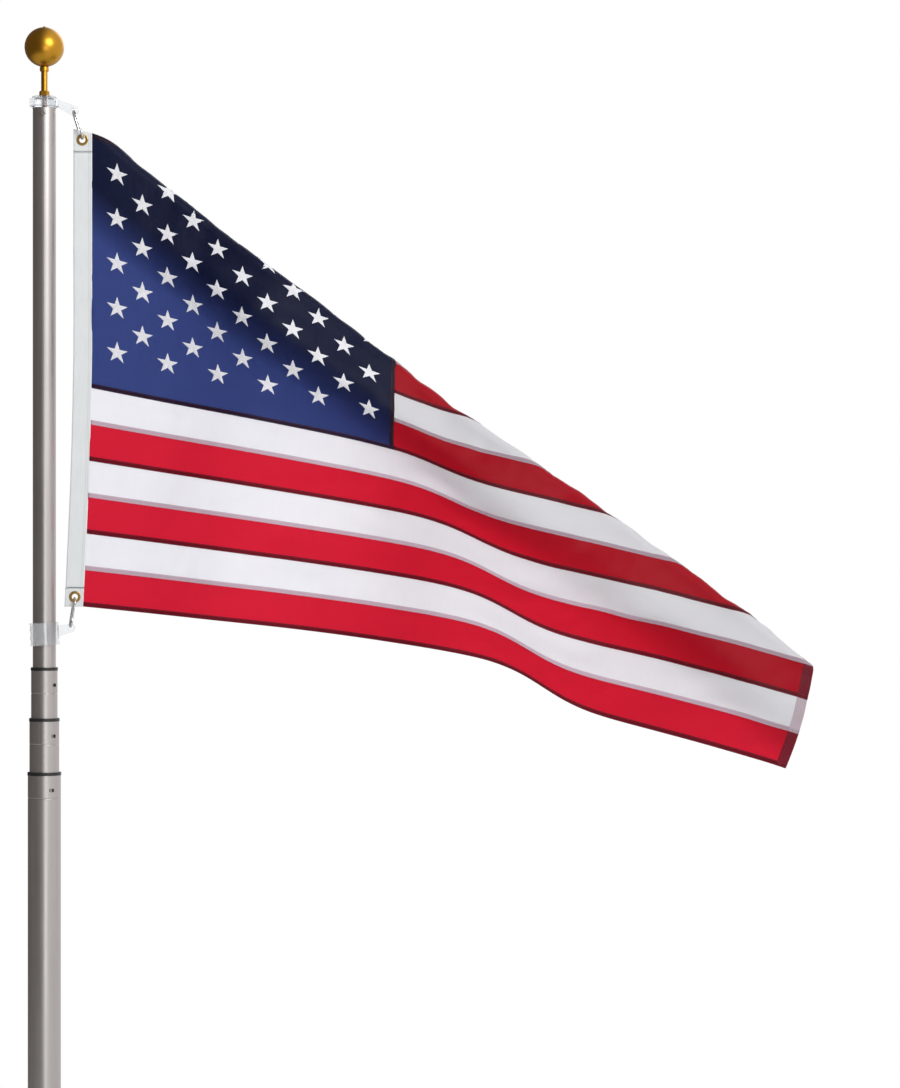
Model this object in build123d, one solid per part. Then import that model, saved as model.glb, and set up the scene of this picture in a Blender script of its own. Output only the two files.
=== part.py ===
from build123d import *
from math import atan, cos, exp, pi, radians, sin, tanh
import os

# A telescoping aluminium flagpole of four tubes, lowered with its top tube part raised.
# Millimetres. The origin is the centre of the foot, +Z up, +X towards the fly of the flag.

# Tubes, from the base to the top
SECTION_LENGTH = 1594.0
TUBE_DIAMETERS = {"base": 63.5, "lower": 57.15, "middle": 50.8, "top": 44.45}
TUBE_WALL = 1.6
BASE_PLUG_HEIGHT = 95.7
TOP_RAISED_PAST_HOIST = 171.0
STACK_GAP = 0.3

# The black ring at each tube's mouth, its liner and the lock slot below it
RING_RISE = 6.0
RING_PROUD = 0.8
RING_RUNNING_GAP = 0.55
LINER_LENGTH = 38.0
LINER_TUBE_GAP = 0.1
SLOT_DEPTH_BELOW_RIM = 28.0
SLOT_WIDTH = 9.9
SLOT_HEIGHT = 6.4
LINER_SLOT_WIDTH = 4.2
BEAD_BELOW_RIM = 44.0
BEAD_DEPTH = 0.6
BEAD_HEIGHT = 3.2
SLOT_AZIMUTHS = {"base": 33.0, "lower": 45.6, "middle": 57.5}

# Plugs and spring buttons inside the sliding tubes
GUIDE_PLUG_INSERT = 89.7
GUIDE_PLUG_FLANGE = 8.0
PLUG_TUBE_GAP = 0.1
GUIDE_RUNNING_GAP = 0.3
PLUG_CUP_WALL = 5.0
PLUG_CUP_DEPTH = 12.0
BUTTON_ABOVE_FOOT = 70.0
BUTTON_WIDTH = 3.6
BUTTON_HEIGHT = 5.6
BUTTON_LENGTH = 15.0
BUTTON_PROUD = 0.35
BUTTON_HOLE_GAP = 0.2

# The swivel at the top: plug, waist, lid and screw
TRUCK_INSERT = 32.0
TRUCK_FLANGE = 3.0
TRUCK_FLANGE_RADIUS = 23.2
TRUCK_WAIST_RADIUS = 18.6
TRUCK_LID = 4.0
RING_BAND_HEIGHT = 14.4
RING_BAND_RADIUS = 28.0
RING_BAND_GAP = 0.5
SCREW_BELOW_RIM = 11.0
SCREW_HEAD_RADIUS = 5.3
SCREW_HEAD_HEIGHT = 2.6
SCREW_SHANK_RADIUS = 2.4
SCREW_LENGTH = 12.0
SCREW_RECESS_SPAN = 5.4
SCREW_RECESS_WIDTH = 1.0
SCREW_RECESS_DEPTH = 1.2
FIT_GAP = 0.05
CUT_SPARE = 1.0

# The ball on its stem
ROD_RADIUS = 4.7
ROD_BELOW_LID = 30.0
ROD_INTO_BALL = 22.0
ROD_CHAMFER = 0.6
NUT_ACROSS_FLATS = 17.0
NUT_HEIGHT = 10.6
STEM_RADIUS = 6.2
STEM_LENGTH = 38.0
STEM_COLLAR_RADIUS = 8.7
STEM_COLLAR_HEIGHT = 9.0
STEM_COLLAR_ROUND = 1.2
BALL_DIAMETER = 76.2
BALL_WALL = 1.6
BALL_SEAM_GAP = 0.1
BALL_NUB_RADIUS = 3.0
BALL_BOSS_WALL = 2.0

# Clear arms, snap hooks and grommets
ARM_THICKNESS = 4.0
LUG_RADIUS = 9.5
LUG_HOLE_RADIUS = 4.5
ARM_ROOT_RADIUS = 4.0
ARM_ROOT_INSET = 5.0
ARM_ROOT_BITE = 3.0
ARM_FLANGE_GAP = 2.0
ARM_CUT_REACH = 20.0
SNAP_WIRE = 5.0
SNAP_LENGTH = 60.0
SNAP_WIDTH = 29.0
SNAP_TURN = 12.0
GATE_WIRE = 4.2
GATE_PIN_RADIUS = 0.9
GATE_PIN_GAP = 0.15
GATE_NOSE_GAP = 0.6
HOOK_SEAT_GAP = 0.6
GATE_ABOVE_BEND = 3.0
NOSE_DROP = 4.5
TONGUE_THICKNESS = 1.8
TONGUE_GAP = 0.3
TONGUE_INSET = 0.4
TONGUE_SINK = 1.0
GROMMET_RADIUS = 11.3
GROMMET_HOLE_RADIUS = 6.0
GROMMET_WALL = 1.1
GROMMET_FLANGE = 1.2
GROMMET_GAP = 0.15

# The clear collar that guides the lower hook
COLLAR_RADIUS = 28.0
COLLAR_WALL = 3.0
COLLAR_HEIGHT = 43.0
COLLAR_TILT = 3.0
COLLAR_OFFSET = 0.6
COLLAR_RIBS = 3
COLLAR_RIB_RISE = 0.8
COLLAR_GROOVE = 9.0
COLLAR_BELOW_HOLE = 13.0
COLLAR_ARM_DEPTH = 13.0

# The flag: cut size, hang and folds
FLAG_HOIST = 914.0
FLAG_FLY = 1486.0
HEADING_WIDTH = 36.0
HEADING_THICKNESS = 2.0
HEADING_SLANT = 8.0
CANTON_FLY = 610.0
STRIPES = 13
CANTON_STRIPES = 7
CLOTH = 1.2
SEAM_GAP = 0.8
FLAG_BELOW_RIM = 47.7
FLAG_REACH = 91.7
HOIST_DRIFT = 17.4
HOIST_DRIFT_FROM = 400.0
HOIST_DRIFT_CURVE = 1.6
FLY_REACH = 0.958
FLY_DRAW = 0.046066
FLY_DRAW_CURVE = 4
SINK_AT_TOP = 0.357
SINK_DOWN = (-0.363, 0.101)
SINK_ALONG = (-0.0805, 0.0563)
SINK_BOTH = 0.088
STEP_ALONG = 824.0
STEP_SHIFT = 0.61
STEP_DOWN = 700.0
STEP_LENGTH = 91.5
STEP_DROP = 37.6
WAVE_LENGTH = 520.0
WAVE_DEPTH = 24.0
WAVE_SHEAR_LENGTH = 2094.4
WAVE_FROM_HOIST = 350.0
SWELL_BELOW_FOLD = 110.0
SWELL_LENGTH = 70.0
SWELL_DEPTH = 30.0
FOLD_SLOPE = 0.485
FOLD_TURN = 34.0
FOLD_WAVE = 320.0
FOLD_SWING = 50.0
FOLD_DIP = 36.0
CLOTH_STEPS = (36.0, 35.0)
FOLD_STEP = 2.0
SLOPE_STEP = 2.0
HEADING_STEPS = 8
UPPER_GROMMET_INSET = 13.3
UPPER_GROMMET_FROM_SEAM = 18.2
LOWER_GROMMET_INSET = 18.7
LOWER_GROMMET_FROM_SEAM = 16.3
UPPER_SNAP_LEAN = 17.8
LOWER_SNAP_LEAN = -8.9

SECTIONS = list(TUBE_DIAMETERS)
STRIPE = FLAG_HOIST / STRIPES
RADII = {name: TUBE_DIAMETERS[name] / 2 for name in SECTIONS}
BORES = {name: RADII[name] - TUBE_WALL for name in SECTIONS}
FOOT = {"base": 0.0, "lower": BASE_PLUG_HEIGHT + STACK_GAP + GUIDE_PLUG_FLANGE}
FOOT["middle"] = FOOT["lower"] + GUIDE_PLUG_INSERT + STACK_GAP + GUIDE_PLUG_FLANGE
FOOT["top"] = FOOT["middle"] + FLAG_HOIST + TOP_RAISED_PAST_HOIST
RIM = {name: FOOT[name] + SECTION_LENGTH for name in SECTIONS}
FLAG_TOP = RIM["top"] - FLAG_BELOW_RIM
PARTS = {}


def cylinder(radius, low, high):
    """A round bar about the pole's axis between two heights."""
    return Pos(0, 0, (low + high) / 2) * Cylinder(radius, high - low)


def pipe(outer, inner, low, high):
    """A tube about the pole's axis between two heights."""
    return cylinder(outer, low, high) - cylinder(inner, low - CUT_SPARE, high + CUT_SPARE)


def towards(azimuth, radius, height):
    """A frame on the pole's side with its X outward, turned from the front towards the fly."""
    return Rot(0, 0, azimuth - 90) * Pos(radius, 0, height)


def rolled_bead(name):
    """The groove rolled into a tube below its ring, as a ring-shaped cut and the ridge inside it."""
    height = RIM[name] - BEAD_BELOW_RIM
    cut = Pos(0, 0, height) * Torus(RADII[name] + BEAD_HEIGHT / 2 - BEAD_DEPTH, BEAD_HEIGHT / 2)
    ridge = Pos(0, 0, height) * Torus(BORES[name] + BEAD_HEIGHT / 2 - BEAD_DEPTH, BEAD_HEIGHT / 2)
    low, high = height - BEAD_HEIGHT, height + BEAD_HEIGHT
    return cut, ridge & pipe(RADII[name] - BEAD_DEPTH, BORES[name] - BEAD_DEPTH, low, high)


def tube(name):
    """One tube, with the bead and lock slot that an outer tube has and the button hole of an inner one."""
    body = pipe(RADII[name], BORES[name], FOOT[name], RIM[name])
    if name in SLOT_AZIMUTHS:
        cut, ridge = rolled_bead(name)
        body = body - cut + ridge
        slot_place = towards(SLOT_AZIMUTHS[name], RADII[name], RIM[name] - SLOT_DEPTH_BELOW_RIM)
        body -= slot_place * Box(4 * TUBE_WALL, SLOT_WIDTH, SLOT_HEIGHT)
    if name != "base":
        body -= button_place(name) * button_pocket(4 * TUBE_WALL)
    if name == "top":
        body -= screw_place() * Cylinder(SCREW_SHANK_RADIUS + FIT_GAP, 4 * TUBE_WALL)
    return body


def button_pocket(length):
    """The rectangular hole that a button slides in, centred on the tube's face."""
    return Box(length, BUTTON_WIDTH + 2 * BUTTON_HOLE_GAP, BUTTON_HEIGHT + 2 * BUTTON_HOLE_GAP)


def button_place(name):
    """Where an inner tube's button sits, in line with the slot it rises into when it is drawn out."""
    outer = SECTIONS[SECTIONS.index(name) - 1]
    return towards(SLOT_AZIMUTHS[outer], RADII[name], FOOT[name] + BUTTON_ABOVE_FOOT)


def mouth_ring(name):
    """The black ring on a tube's mouth: a rim over the tube's edge and a liner down inside its bore."""
    inner_tube = RADII[SECTIONS[SECTIONS.index(name) + 1]]
    bore = inner_tube + RING_RUNNING_GAP
    liner = BORES[name] - LINER_TUBE_GAP
    rim = RIM[name]
    body = pipe(RADII[name] + RING_PROUD, bore, rim, rim + RING_RISE)
    body = fillet(body.edges().filter_by(GeomType.CIRCLE).group_by(Axis.Z)[-1], RING_PROUD)
    body += pipe(liner, bore, rim - LINER_LENGTH, rim)
    window = towards(SLOT_AZIMUTHS[name], RADII[name], rim - SLOT_DEPTH_BELOW_RIM)
    return body - window * Box(6 * TUBE_WALL, LINER_SLOT_WIDTH, SLOT_HEIGHT)


def base_plug():
    """The closed foot of the base tube, a stepped plug that the lower tube comes down on."""
    body = cylinder(BORES["base"] - PLUG_TUBE_GAP, 0, BASE_PLUG_HEIGHT)
    return chamfer(body.edges().group_by(Axis.Z)[-1], 2)


def guide_plug(name):
    """The plug in a sliding tube's foot, with the button's pocket and a shallow cup on top.

    Its skirt below runs in the next tube, and the next plug down carries it.
    """
    outer = SECTIONS[SECTIONS.index(name) - 1]
    foot = FOOT[name]
    top = foot + GUIDE_PLUG_INSERT
    bore = BORES[name] - PLUG_TUBE_GAP
    skirt = cylinder(BORES[outer] - GUIDE_RUNNING_GAP, foot - GUIDE_PLUG_FLANGE, foot)
    body = cylinder(bore, foot, top) + chamfer(skirt.edges().group_by(Axis.Z)[0], 1.5)
    body -= cylinder(bore - PLUG_CUP_WALL, top - PLUG_CUP_DEPTH, top + CUT_SPARE)
    return body - button_place(name) * button_pocket(2 * BUTTON_LENGTH)


def spring_button(name):
    """The steel lock button, pressed in by the tube outside it."""
    head = Pos(BUTTON_PROUD - BUTTON_LENGTH / 2, 0, 0) * Box(BUTTON_LENGTH, BUTTON_WIDTH, BUTTON_HEIGHT)
    return button_place(name) * chamfer(head.edges().filter_by(Axis.Y).group_by(Axis.X)[-1], 0.3)


def truck_plug():
    """The clear plug in the top tube, with the flange and waist that the swivel ring turns on."""
    rim = RIM["top"]
    waist_top = rim + TRUCK_FLANGE + RING_BAND_HEIGHT + 2 * RING_BAND_GAP
    body = cylinder(BORES["top"] - PLUG_TUBE_GAP, rim - TRUCK_INSERT, rim)
    body += cylinder(TRUCK_FLANGE_RADIUS, rim, rim + TRUCK_FLANGE)
    body += cylinder(TRUCK_WAIST_RADIUS, rim + TRUCK_FLANGE, waist_top)
    body -= cylinder(ROD_RADIUS + FIT_GAP, rim - TRUCK_INSERT - CUT_SPARE, waist_top + CUT_SPARE)
    return body - screw_place() * Cylinder(SCREW_SHANK_RADIUS + FIT_GAP, 2 * (SCREW_LENGTH + FIT_GAP))


def screw_place():
    """The frame of the side screw under its head, with Z out of the tube's front."""
    return towards(0, RADII["top"] + FIT_GAP, RIM["top"] - SCREW_BELOW_RIM) * Rot(0, 90, 0)


def truck_lid():
    """The clear washer that traps the swivel ring under the ball's nut."""
    low = lid_foot()
    body = cylinder(TRUCK_FLANGE_RADIUS, low, low + TRUCK_LID)
    body = fillet(body.edges().group_by(Axis.Z)[-1], 1.0)
    return body - cylinder(ROD_RADIUS + FIT_GAP, low - CUT_SPARE, low + TRUCK_LID + CUT_SPARE)


def lid_foot():
    """The height of the lid's underside."""
    return RIM["top"] + TRUCK_FLANGE + RING_BAND_HEIGHT + 2 * RING_BAND_GAP


def truck_screw():
    """The cross-head screw that holds the clear plug in the tube."""
    place = screw_place()
    head = place * Pos(0, 0, SCREW_HEAD_HEIGHT / 2) * Cylinder(SCREW_HEAD_RADIUS, SCREW_HEAD_HEIGHT)
    head = fillet(head.edges().filter_by(GeomType.CIRCLE).group_by(Axis.Y)[0], SCREW_HEAD_HEIGHT * 0.6)
    head += place * Pos(0, 0, -SCREW_LENGTH / 2) * Cylinder(SCREW_SHANK_RADIUS, SCREW_LENGTH)
    for turn in (45, 135):
        recess = Box(SCREW_RECESS_SPAN, SCREW_RECESS_WIDTH, 2 * SCREW_RECESS_DEPTH)
        head -= place * Pos(0, 0, SCREW_HEAD_HEIGHT) * Rot(0, 0, turn) * recess
    return head


def hexagon_nut(low):
    """The gold nut that clamps the lid."""
    body = extrude(Pos(0, 0, low) * RegularPolygon(NUT_ACROSS_FLATS / 2, 6, major_radius=False), NUT_HEIGHT)
    crown = Pos(0, 0, low + NUT_HEIGHT / 2) * Cone(
        NUT_ACROSS_FLATS * 0.5 + NUT_HEIGHT, NUT_ACROSS_FLATS * 0.5, NUT_HEIGHT
    )
    bore = cylinder(ROD_RADIUS + FIT_GAP, low - CUT_SPARE, low + NUT_HEIGHT + CUT_SPARE)
    return (body & crown) - bore


def ball_stem(low):
    """The turned gold stem with the collar that the ball sits on."""
    shoulder = low + STEM_LENGTH
    top = shoulder + STEM_COLLAR_HEIGHT
    body = cylinder(STEM_RADIUS, low, shoulder)
    body += fillet(cylinder(STEM_COLLAR_RADIUS, shoulder, top).edges(), STEM_COLLAR_ROUND)
    return body - cylinder(ROD_RADIUS + FIT_GAP, low - CUT_SPARE, top + CUT_SPARE)


def ball_half(centre, upper):
    """Half of the hollow gold ball: the lower half is bored for the rod, the upper has a nub."""
    shell = Pos(0, 0, centre) * (Sphere(BALL_DIAMETER / 2) - Sphere(BALL_DIAMETER / 2 - BALL_WALL))
    side = 1 if upper else -1
    keep = Pos(0, 0, centre + side * (BALL_DIAMETER / 2 + BALL_SEAM_GAP / 2))
    body = shell & keep * Box(BALL_DIAMETER * 2, BALL_DIAMETER * 2, BALL_DIAMETER)
    if upper:
        nub = Pos(0, 0, centre + BALL_DIAMETER / 2 - BALL_WALL / 2) * Sphere(BALL_NUB_RADIUS)
        return body + (nub - Pos(0, 0, centre) * Sphere(BALL_DIAMETER / 2 - BALL_WALL))
    foot = centre - BALL_DIAMETER / 2
    body += cylinder(STEM_RADIUS + BALL_BOSS_WALL, foot + BALL_WALL / 2, foot + ROD_INTO_BALL)
    return body - cylinder(ROD_RADIUS + FIT_GAP, foot - CUT_SPARE, centre)


def threaded_rod(low, high):
    """The rod that runs from the clear plug up into the ball."""
    return chamfer(cylinder(ROD_RADIUS, low, high).edges(), ROD_CHAMFER)


def arm(outline, hole):
    """A flat clear arm in the plane of the flag, from its outline and the centre of its lug hole."""
    body = extrude(Plane.XZ * make_hull(outline.edges()), ARM_THICKNESS / 2, both=True)
    return body - Pos(hole[0], 0, hole[1]) * Rot(90, 0, 0) * Cylinder(LUG_HOLE_RADIUS, 4 * ARM_THICKNESS)


def swivel_ring(hole):
    """The clear ring that turns on the waist, with an arm out to the upper hook."""
    low = RIM["top"] + TRUCK_FLANGE + RING_BAND_GAP
    high = low + RING_BAND_HEIGHT
    root_x = TRUCK_WAIST_RADIUS + ARM_ROOT_INSET
    outline = Sketch() + Pos(root_x, high - ARM_ROOT_INSET) * Circle(ARM_ROOT_RADIUS)
    outline += Pos(root_x, low + ARM_ROOT_RADIUS) * Circle(ARM_ROOT_RADIUS * 0.85)
    outline += Pos(hole[0], hole[1]) * Circle(LUG_RADIUS)
    web = arm(outline, hole)
    body = pipe(RING_BAND_RADIUS, TRUCK_WAIST_RADIUS + RING_BAND_GAP, low, high)
    web -= cylinder(TRUCK_WAIST_RADIUS + ARM_ROOT_BITE, low - ARM_CUT_REACH, high + ARM_CUT_REACH)
    clearance = cylinder(TRUCK_FLANGE_RADIUS + ARM_FLANGE_GAP, low - ARM_CUT_REACH, low)
    return body + (web - clearance)


def lower_collar(hole):
    """The clear collar round the top tube, tilted by the pull of its hook, with bands and an arm."""
    centre = Pos(COLLAR_OFFSET, 0, hole[1] - COLLAR_BELOW_HOLE) * Rot(0, -COLLAR_TILT, 0)
    half = COLLAR_HEIGHT / 2
    body = cylinder(COLLAR_RADIUS, -half, half)
    for index in range(COLLAR_RIBS):
        height = (index - (COLLAR_RIBS - 1) / 2) * COLLAR_HEIGHT / COLLAR_RIBS
        low = height - COLLAR_GROOVE / 2
        body -= pipe(COLLAR_RADIUS + CUT_SPARE, COLLAR_RADIUS - COLLAR_RIB_RISE, low, low + COLLAR_GROOVE)
    bore = cylinder(COLLAR_RADIUS - COLLAR_WALL, -half - CUT_SPARE, half + CUT_SPARE)
    body = centre * (body - bore)
    root = COLLAR_RADIUS - COLLAR_WALL
    outline = Sketch() + Pos(root, hole[1] - 1) * Circle(ARM_ROOT_RADIUS)
    outline += Pos(root, hole[1] - 1 - COLLAR_ARM_DEPTH) * Circle(ARM_ROOT_RADIUS)
    outline += Pos(hole[0], hole[1] - 2) * Circle(LUG_RADIUS - 1)
    inside = cylinder(COLLAR_RADIUS - COLLAR_WALL / 2, -COLLAR_HEIGHT, COLLAR_HEIGHT)
    return body + (arm(outline, hole) - centre * inside)


def snap_place(top, lean):
    """The frame of a hook from the centre of its upper bend's wire: Z along it, Y across it."""
    centre_line = SNAP_LENGTH - SNAP_WIRE
    return Pos(top[0], 0, top[1]) * Rot(0, -lean, 0) * Rot(0, 0, SNAP_TURN) * Pos(0, 0, -centre_line / 2)


def snap_sizes():
    """The bend radius, the half length of the straight side, and the gate's hinge and tip heights."""
    bend = (SNAP_WIDTH - SNAP_WIRE) / 2
    straight = (SNAP_LENGTH - SNAP_WIRE) / 2 - bend
    return bend, straight, -straight + GATE_ABOVE_BEND, straight - NOSE_DROP


def snap_body(place):
    """The hook: one bent wire from its nose round the spine to the tongue that carries the gate."""
    bend, straight, hinge, nose = snap_sizes()
    path = Line((0, -bend, nose), (0, -bend, straight))
    path += ThreePointArc((0, -bend, straight), (0, 0, straight + bend), (0, bend, straight))
    path += Line((0, bend, straight), (0, bend, -straight))
    path += ThreePointArc((0, bend, -straight), (0, 0, -straight - bend), (0, -bend, -straight))
    wire = sweep(Plane((0, -bend, nose), z_dir=(0, 0, 1)) * Circle(SNAP_WIRE / 2), path=path)
    tongue_foot = -straight - TONGUE_SINK
    tongue_top = hinge + GATE_WIRE / 2
    tongue = Box(TONGUE_THICKNESS, GATE_WIRE - TONGUE_INSET, tongue_top - tongue_foot)
    tongue = Pos(0, -bend, (tongue_foot + tongue_top) / 2) * tongue
    pin = Pos(0, -bend, hinge) * Rot(0, 90, 0) * Cylinder(GATE_PIN_RADIUS, GATE_WIRE)
    return place * (wire + tongue + pin)


def snap_gate(place):
    """The spring gate: a straight rod, forked over the tongue at its hinge."""
    bend, straight, hinge, nose = snap_sizes()
    foot = -straight + GATE_NOSE_GAP
    tip = nose - GATE_NOSE_GAP
    rod = Pos(0, -bend, (foot + tip) / 2) * Cylinder(GATE_WIRE / 2, tip - foot)
    rod = fillet(rod.edges().group_by(Axis.Z)[-1], GATE_WIRE / 4)
    fork_top = hinge + GATE_WIRE / 2 + GATE_NOSE_GAP
    fork_foot = foot - 2 * CUT_SPARE
    slot = Box(TONGUE_THICKNESS + 2 * TONGUE_GAP, 2 * GATE_WIRE, fork_top - fork_foot)
    slot = Pos(0, -bend, (fork_foot + fork_top) / 2) * slot
    hole = Pos(0, -bend, hinge) * Rot(0, 90, 0) * Cylinder(GATE_PIN_RADIUS + GATE_PIN_GAP, 2 * GATE_WIRE)
    return place * (rod - slot - hole)


def grommet(centre):
    """A two-part brass eyelet: a barrel through the heading and a rolled flange on each face."""
    barrel = GROMMET_HOLE_RADIUS + GROMMET_WALL
    reach = HEADING_THICKNESS / 2 + GROMMET_GAP
    body = Cylinder(barrel, 2 * reach + GROMMET_FLANGE)
    for side in (-1, 1):
        flange = Pos(0, 0, side * (reach + GROMMET_FLANGE / 2)) * Cylinder(GROMMET_RADIUS, GROMMET_FLANGE)
        outer = flange.edges().filter_by(GeomType.CIRCLE).sort_by(Axis.Z)[-1 if side > 0 else 0]
        body += fillet(outer, GROMMET_FLANGE * 0.8)
    body -= Cylinder(GROMMET_HOLE_RADIUS, 2 * (reach + GROMMET_FLANGE + CUT_SPARE))
    return Pos(centre[0], 0, centre[1]) * Rot(90, 0, 0) * body


def smooth(value):
    """A smooth step from 0 to 1."""
    value = min(max(value, 0.0), 1.0)
    return value * value * (3 - 2 * value)


def hoist_reach(down):
    """How far the hoist seam stands from the pole's axis, at a distance down the hoist."""
    drift = min(max((down - HOIST_DRIFT_FROM) / (FLAG_HOIST - HOIST_DRIFT_FROM), 0.0), 1.0)
    return FLAG_REACH - HOIST_DRIFT * drift**HOIST_DRIFT_CURVE


def front_point(along, down):
    """The flag in front of its fold: along is the way to the fly and down the way down the hoist.

    The threads from hoist to fly sink by a share of their length, less at the foot, and step down
    once more in the lower half. The depth is one long wave and a swell under the fold.
    """
    p = along / FLAG_FLY
    q = down / FLAG_HOIST
    share = SINK_AT_TOP + SINK_DOWN[0] * q + SINK_DOWN[1] * q * q
    share += SINK_ALONG[0] * p + SINK_ALONG[1] * p * p + SINK_BOTH * p * q
    step = STEP_ALONG + STEP_SHIFT * (down - STEP_DOWN)
    sink = along * share + STEP_DROP * q * (tanh((along - step) / STEP_LENGTH) + tanh(step / STEP_LENGTH))
    reach = hoist_reach(down) + FLY_REACH * along - FLY_DRAW * q**FLY_DRAW_CURVE * p * along
    below = max(down - FOLD_SLOPE * along, 0)
    depth = WAVE_DEPTH * sin(2 * pi * (along / WAVE_LENGTH + below / WAVE_SHEAR_LENGTH))
    depth -= SWELL_DEPTH * exp(-(((below - SWELL_BELOW_FOLD) / SWELL_LENGTH) ** 2))
    return Vector(reach, smooth(along / WAVE_FROM_HOIST) * depth, FLAG_TOP - down - sink)


FOLD_ANGLE = atan(FOLD_SLOPE)
FOLD_LINE = (front_point(FLAG_FLY, FOLD_SLOPE * FLAG_FLY) - front_point(0, 0)).normalized()
FOLD_UP = FOLD_LINE.cross(Vector(0, 1, 0)).normalized()


def fold_profile():
    """The course of the cloth past the fold, seen along the fold line, at every step of cloth.

    It starts upward in line with the front, turns down behind it, and waves away backward. Both
    sums are taken at unit speed, so no cloth is stretched.
    """
    rise = [0.0]
    back = [0.0]
    for index in range(int(FLAG_FLY / FOLD_STEP)):
        here = (index + 0.5) * FOLD_STEP
        heading = 90 + FOLD_DIP + FOLD_SWING * cos(2 * pi * here / FOLD_WAVE)
        heading = radians(heading) * (1 - exp(-here / FOLD_TURN))
        rise.append(rise[-1] + cos(heading) * FOLD_STEP)
        back.append(back[-1] + sin(heading) * FOLD_STEP)
    return rise, back


RISE, BACK = fold_profile()


def cloth_point(along, down):
    """The middle of the flag's cloth, for any place on the flat flag."""
    past = along * sin(FOLD_ANGLE) - down * cos(FOLD_ANGLE)
    if along <= 0 or past <= 0:
        return front_point(along, down)
    on_fold = along * cos(FOLD_ANGLE) + down * sin(FOLD_ANGLE)
    start = front_point(on_fold * cos(FOLD_ANGLE), on_fold * sin(FOLD_ANGLE))
    index = int(past / FOLD_STEP)
    part = past / FOLD_STEP - index
    rise = RISE[index] + part * (RISE[index + 1] - RISE[index])
    back = BACK[index] + part * (BACK[index + 1] - BACK[index])
    return start + FOLD_UP * rise + Vector(0, back, 0)


def cloth_skin(alongs, downs, lift):
    """A grid of points on one face of the cloth, half its thickness off the middle."""
    grid = []
    for along in alongs:
        row = []
        for down in downs:
            across = cloth_point(along + SLOPE_STEP, down) - cloth_point(along - SLOPE_STEP, down)
            drop = cloth_point(along, down + SLOPE_STEP) - cloth_point(along, down - SLOPE_STEP)
            row.append(cloth_point(along, down) + across.cross(drop).normalized() * lift)
        grid.append(row)
    return grid


def facets(quads):
    """Two flat triangles for each four-cornered cell."""
    faces = []
    for a, b, c, d in quads:
        faces.append(Face(Wire.make_polygon([a, b, c])))
        faces.append(Face(Wire.make_polygon([a, c, d])))
    return faces


def cells_of(grid):
    """The four corners of each cell of a grid of points."""
    rows = range(len(grid) - 1)
    columns = range(len(grid[0]) - 1)
    return [(grid[i][j], grid[i + 1][j], grid[i + 1][j + 1], grid[i][j + 1]) for i in rows for j in columns]


def rim_of(grid):
    """The points round the edge of a grid, in order."""
    return (
        [row[0] for row in grid[:-1]]
        + grid[-1][:-1]
        + [row[-1] for row in reversed(grid[1:])]
        + list(reversed(grid[0][1:]))
    )


def cloth_panel(along, down):
    """A closed, faceted panel of cloth between two distances along the fly and two down the hoist."""
    cells = [round((high - low) / step) for (low, high), step in zip((along, down), CLOTH_STEPS)]
    alongs = [along[0] + (along[1] - along[0]) * i / cells[0] for i in range(cells[0] + 1)]
    downs = [down[0] + (down[1] - down[0]) * i / cells[1] for i in range(cells[1] + 1)]
    front = cloth_skin(alongs, downs, CLOTH / 2)
    back = cloth_skin(alongs, downs, -CLOTH / 2)
    rims = list(zip(rim_of(front), rim_of(back)))
    edge = [(*rims[i - 1], rims[i][1], rims[i][0]) for i in range(len(rims))]
    return Solid(Shell(facets(cells_of(front) + cells_of(back) + edge)))


def heading():
    """The canvas band at the hoist, flat between the hooks, its top slanted, with a hole for each eyelet."""
    steps = [FLAG_HOIST * i / HEADING_STEPS for i in range(HEADING_STEPS + 1)]
    fly_side = [(hoist_reach(down) - SEAM_GAP, FLAG_TOP - down) for down in steps]
    pole_side = [(x - HEADING_WIDTH, z) for x, z in reversed(fly_side)]
    pole_side[-1] = (pole_side[-1][0], pole_side[-1][1] + HEADING_SLANT)
    edge = Spline(*fly_side) + Line(fly_side[-1], pole_side[0]) + Spline(*pole_side)
    edge += Line(pole_side[-1], fly_side[0])
    body = extrude(Plane.XZ * make_face(edge), HEADING_THICKNESS / 2, both=True)
    for centre in grommet_centres():
        hole = Rot(90, 0, 0) * Cylinder(GROMMET_HOLE_RADIUS + GROMMET_WALL + GROMMET_GAP, 20)
        body -= Pos(centre[0], 0, centre[1]) * hole
    return body


def grommet_centres():
    """The middles of the upper and the lower eyelet in the heading."""
    lower_down = FLAG_HOIST - LOWER_GROMMET_INSET
    upper = hoist_reach(UPPER_GROMMET_INSET) - UPPER_GROMMET_FROM_SEAM, FLAG_TOP - UPPER_GROMMET_INSET
    lower = hoist_reach(lower_down) - LOWER_GROMMET_FROM_SEAM, FLAG_TOP - lower_down
    return upper, lower


def lean(start, angle, distance):
    """The point a distance down a line that leans from the vertical, in the plane of the flag."""
    return start[0] + distance * sin(radians(angle)), start[1] - distance * cos(radians(angle))


def build_pole():
    """The tubes, with what seats in their mouths and feet."""
    for name in SECTIONS:
        PARTS[f"{name}_tube"] = tube(name)
        if name != "top":
            PARTS[f"{name}_ring"] = mouth_ring(name)
        if name != "base":
            PARTS[f"{name}_plug"] = guide_plug(name)
            PARTS[f"{name}_button"] = spring_button(name)
    PARTS["base_plug"] = base_plug()


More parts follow.
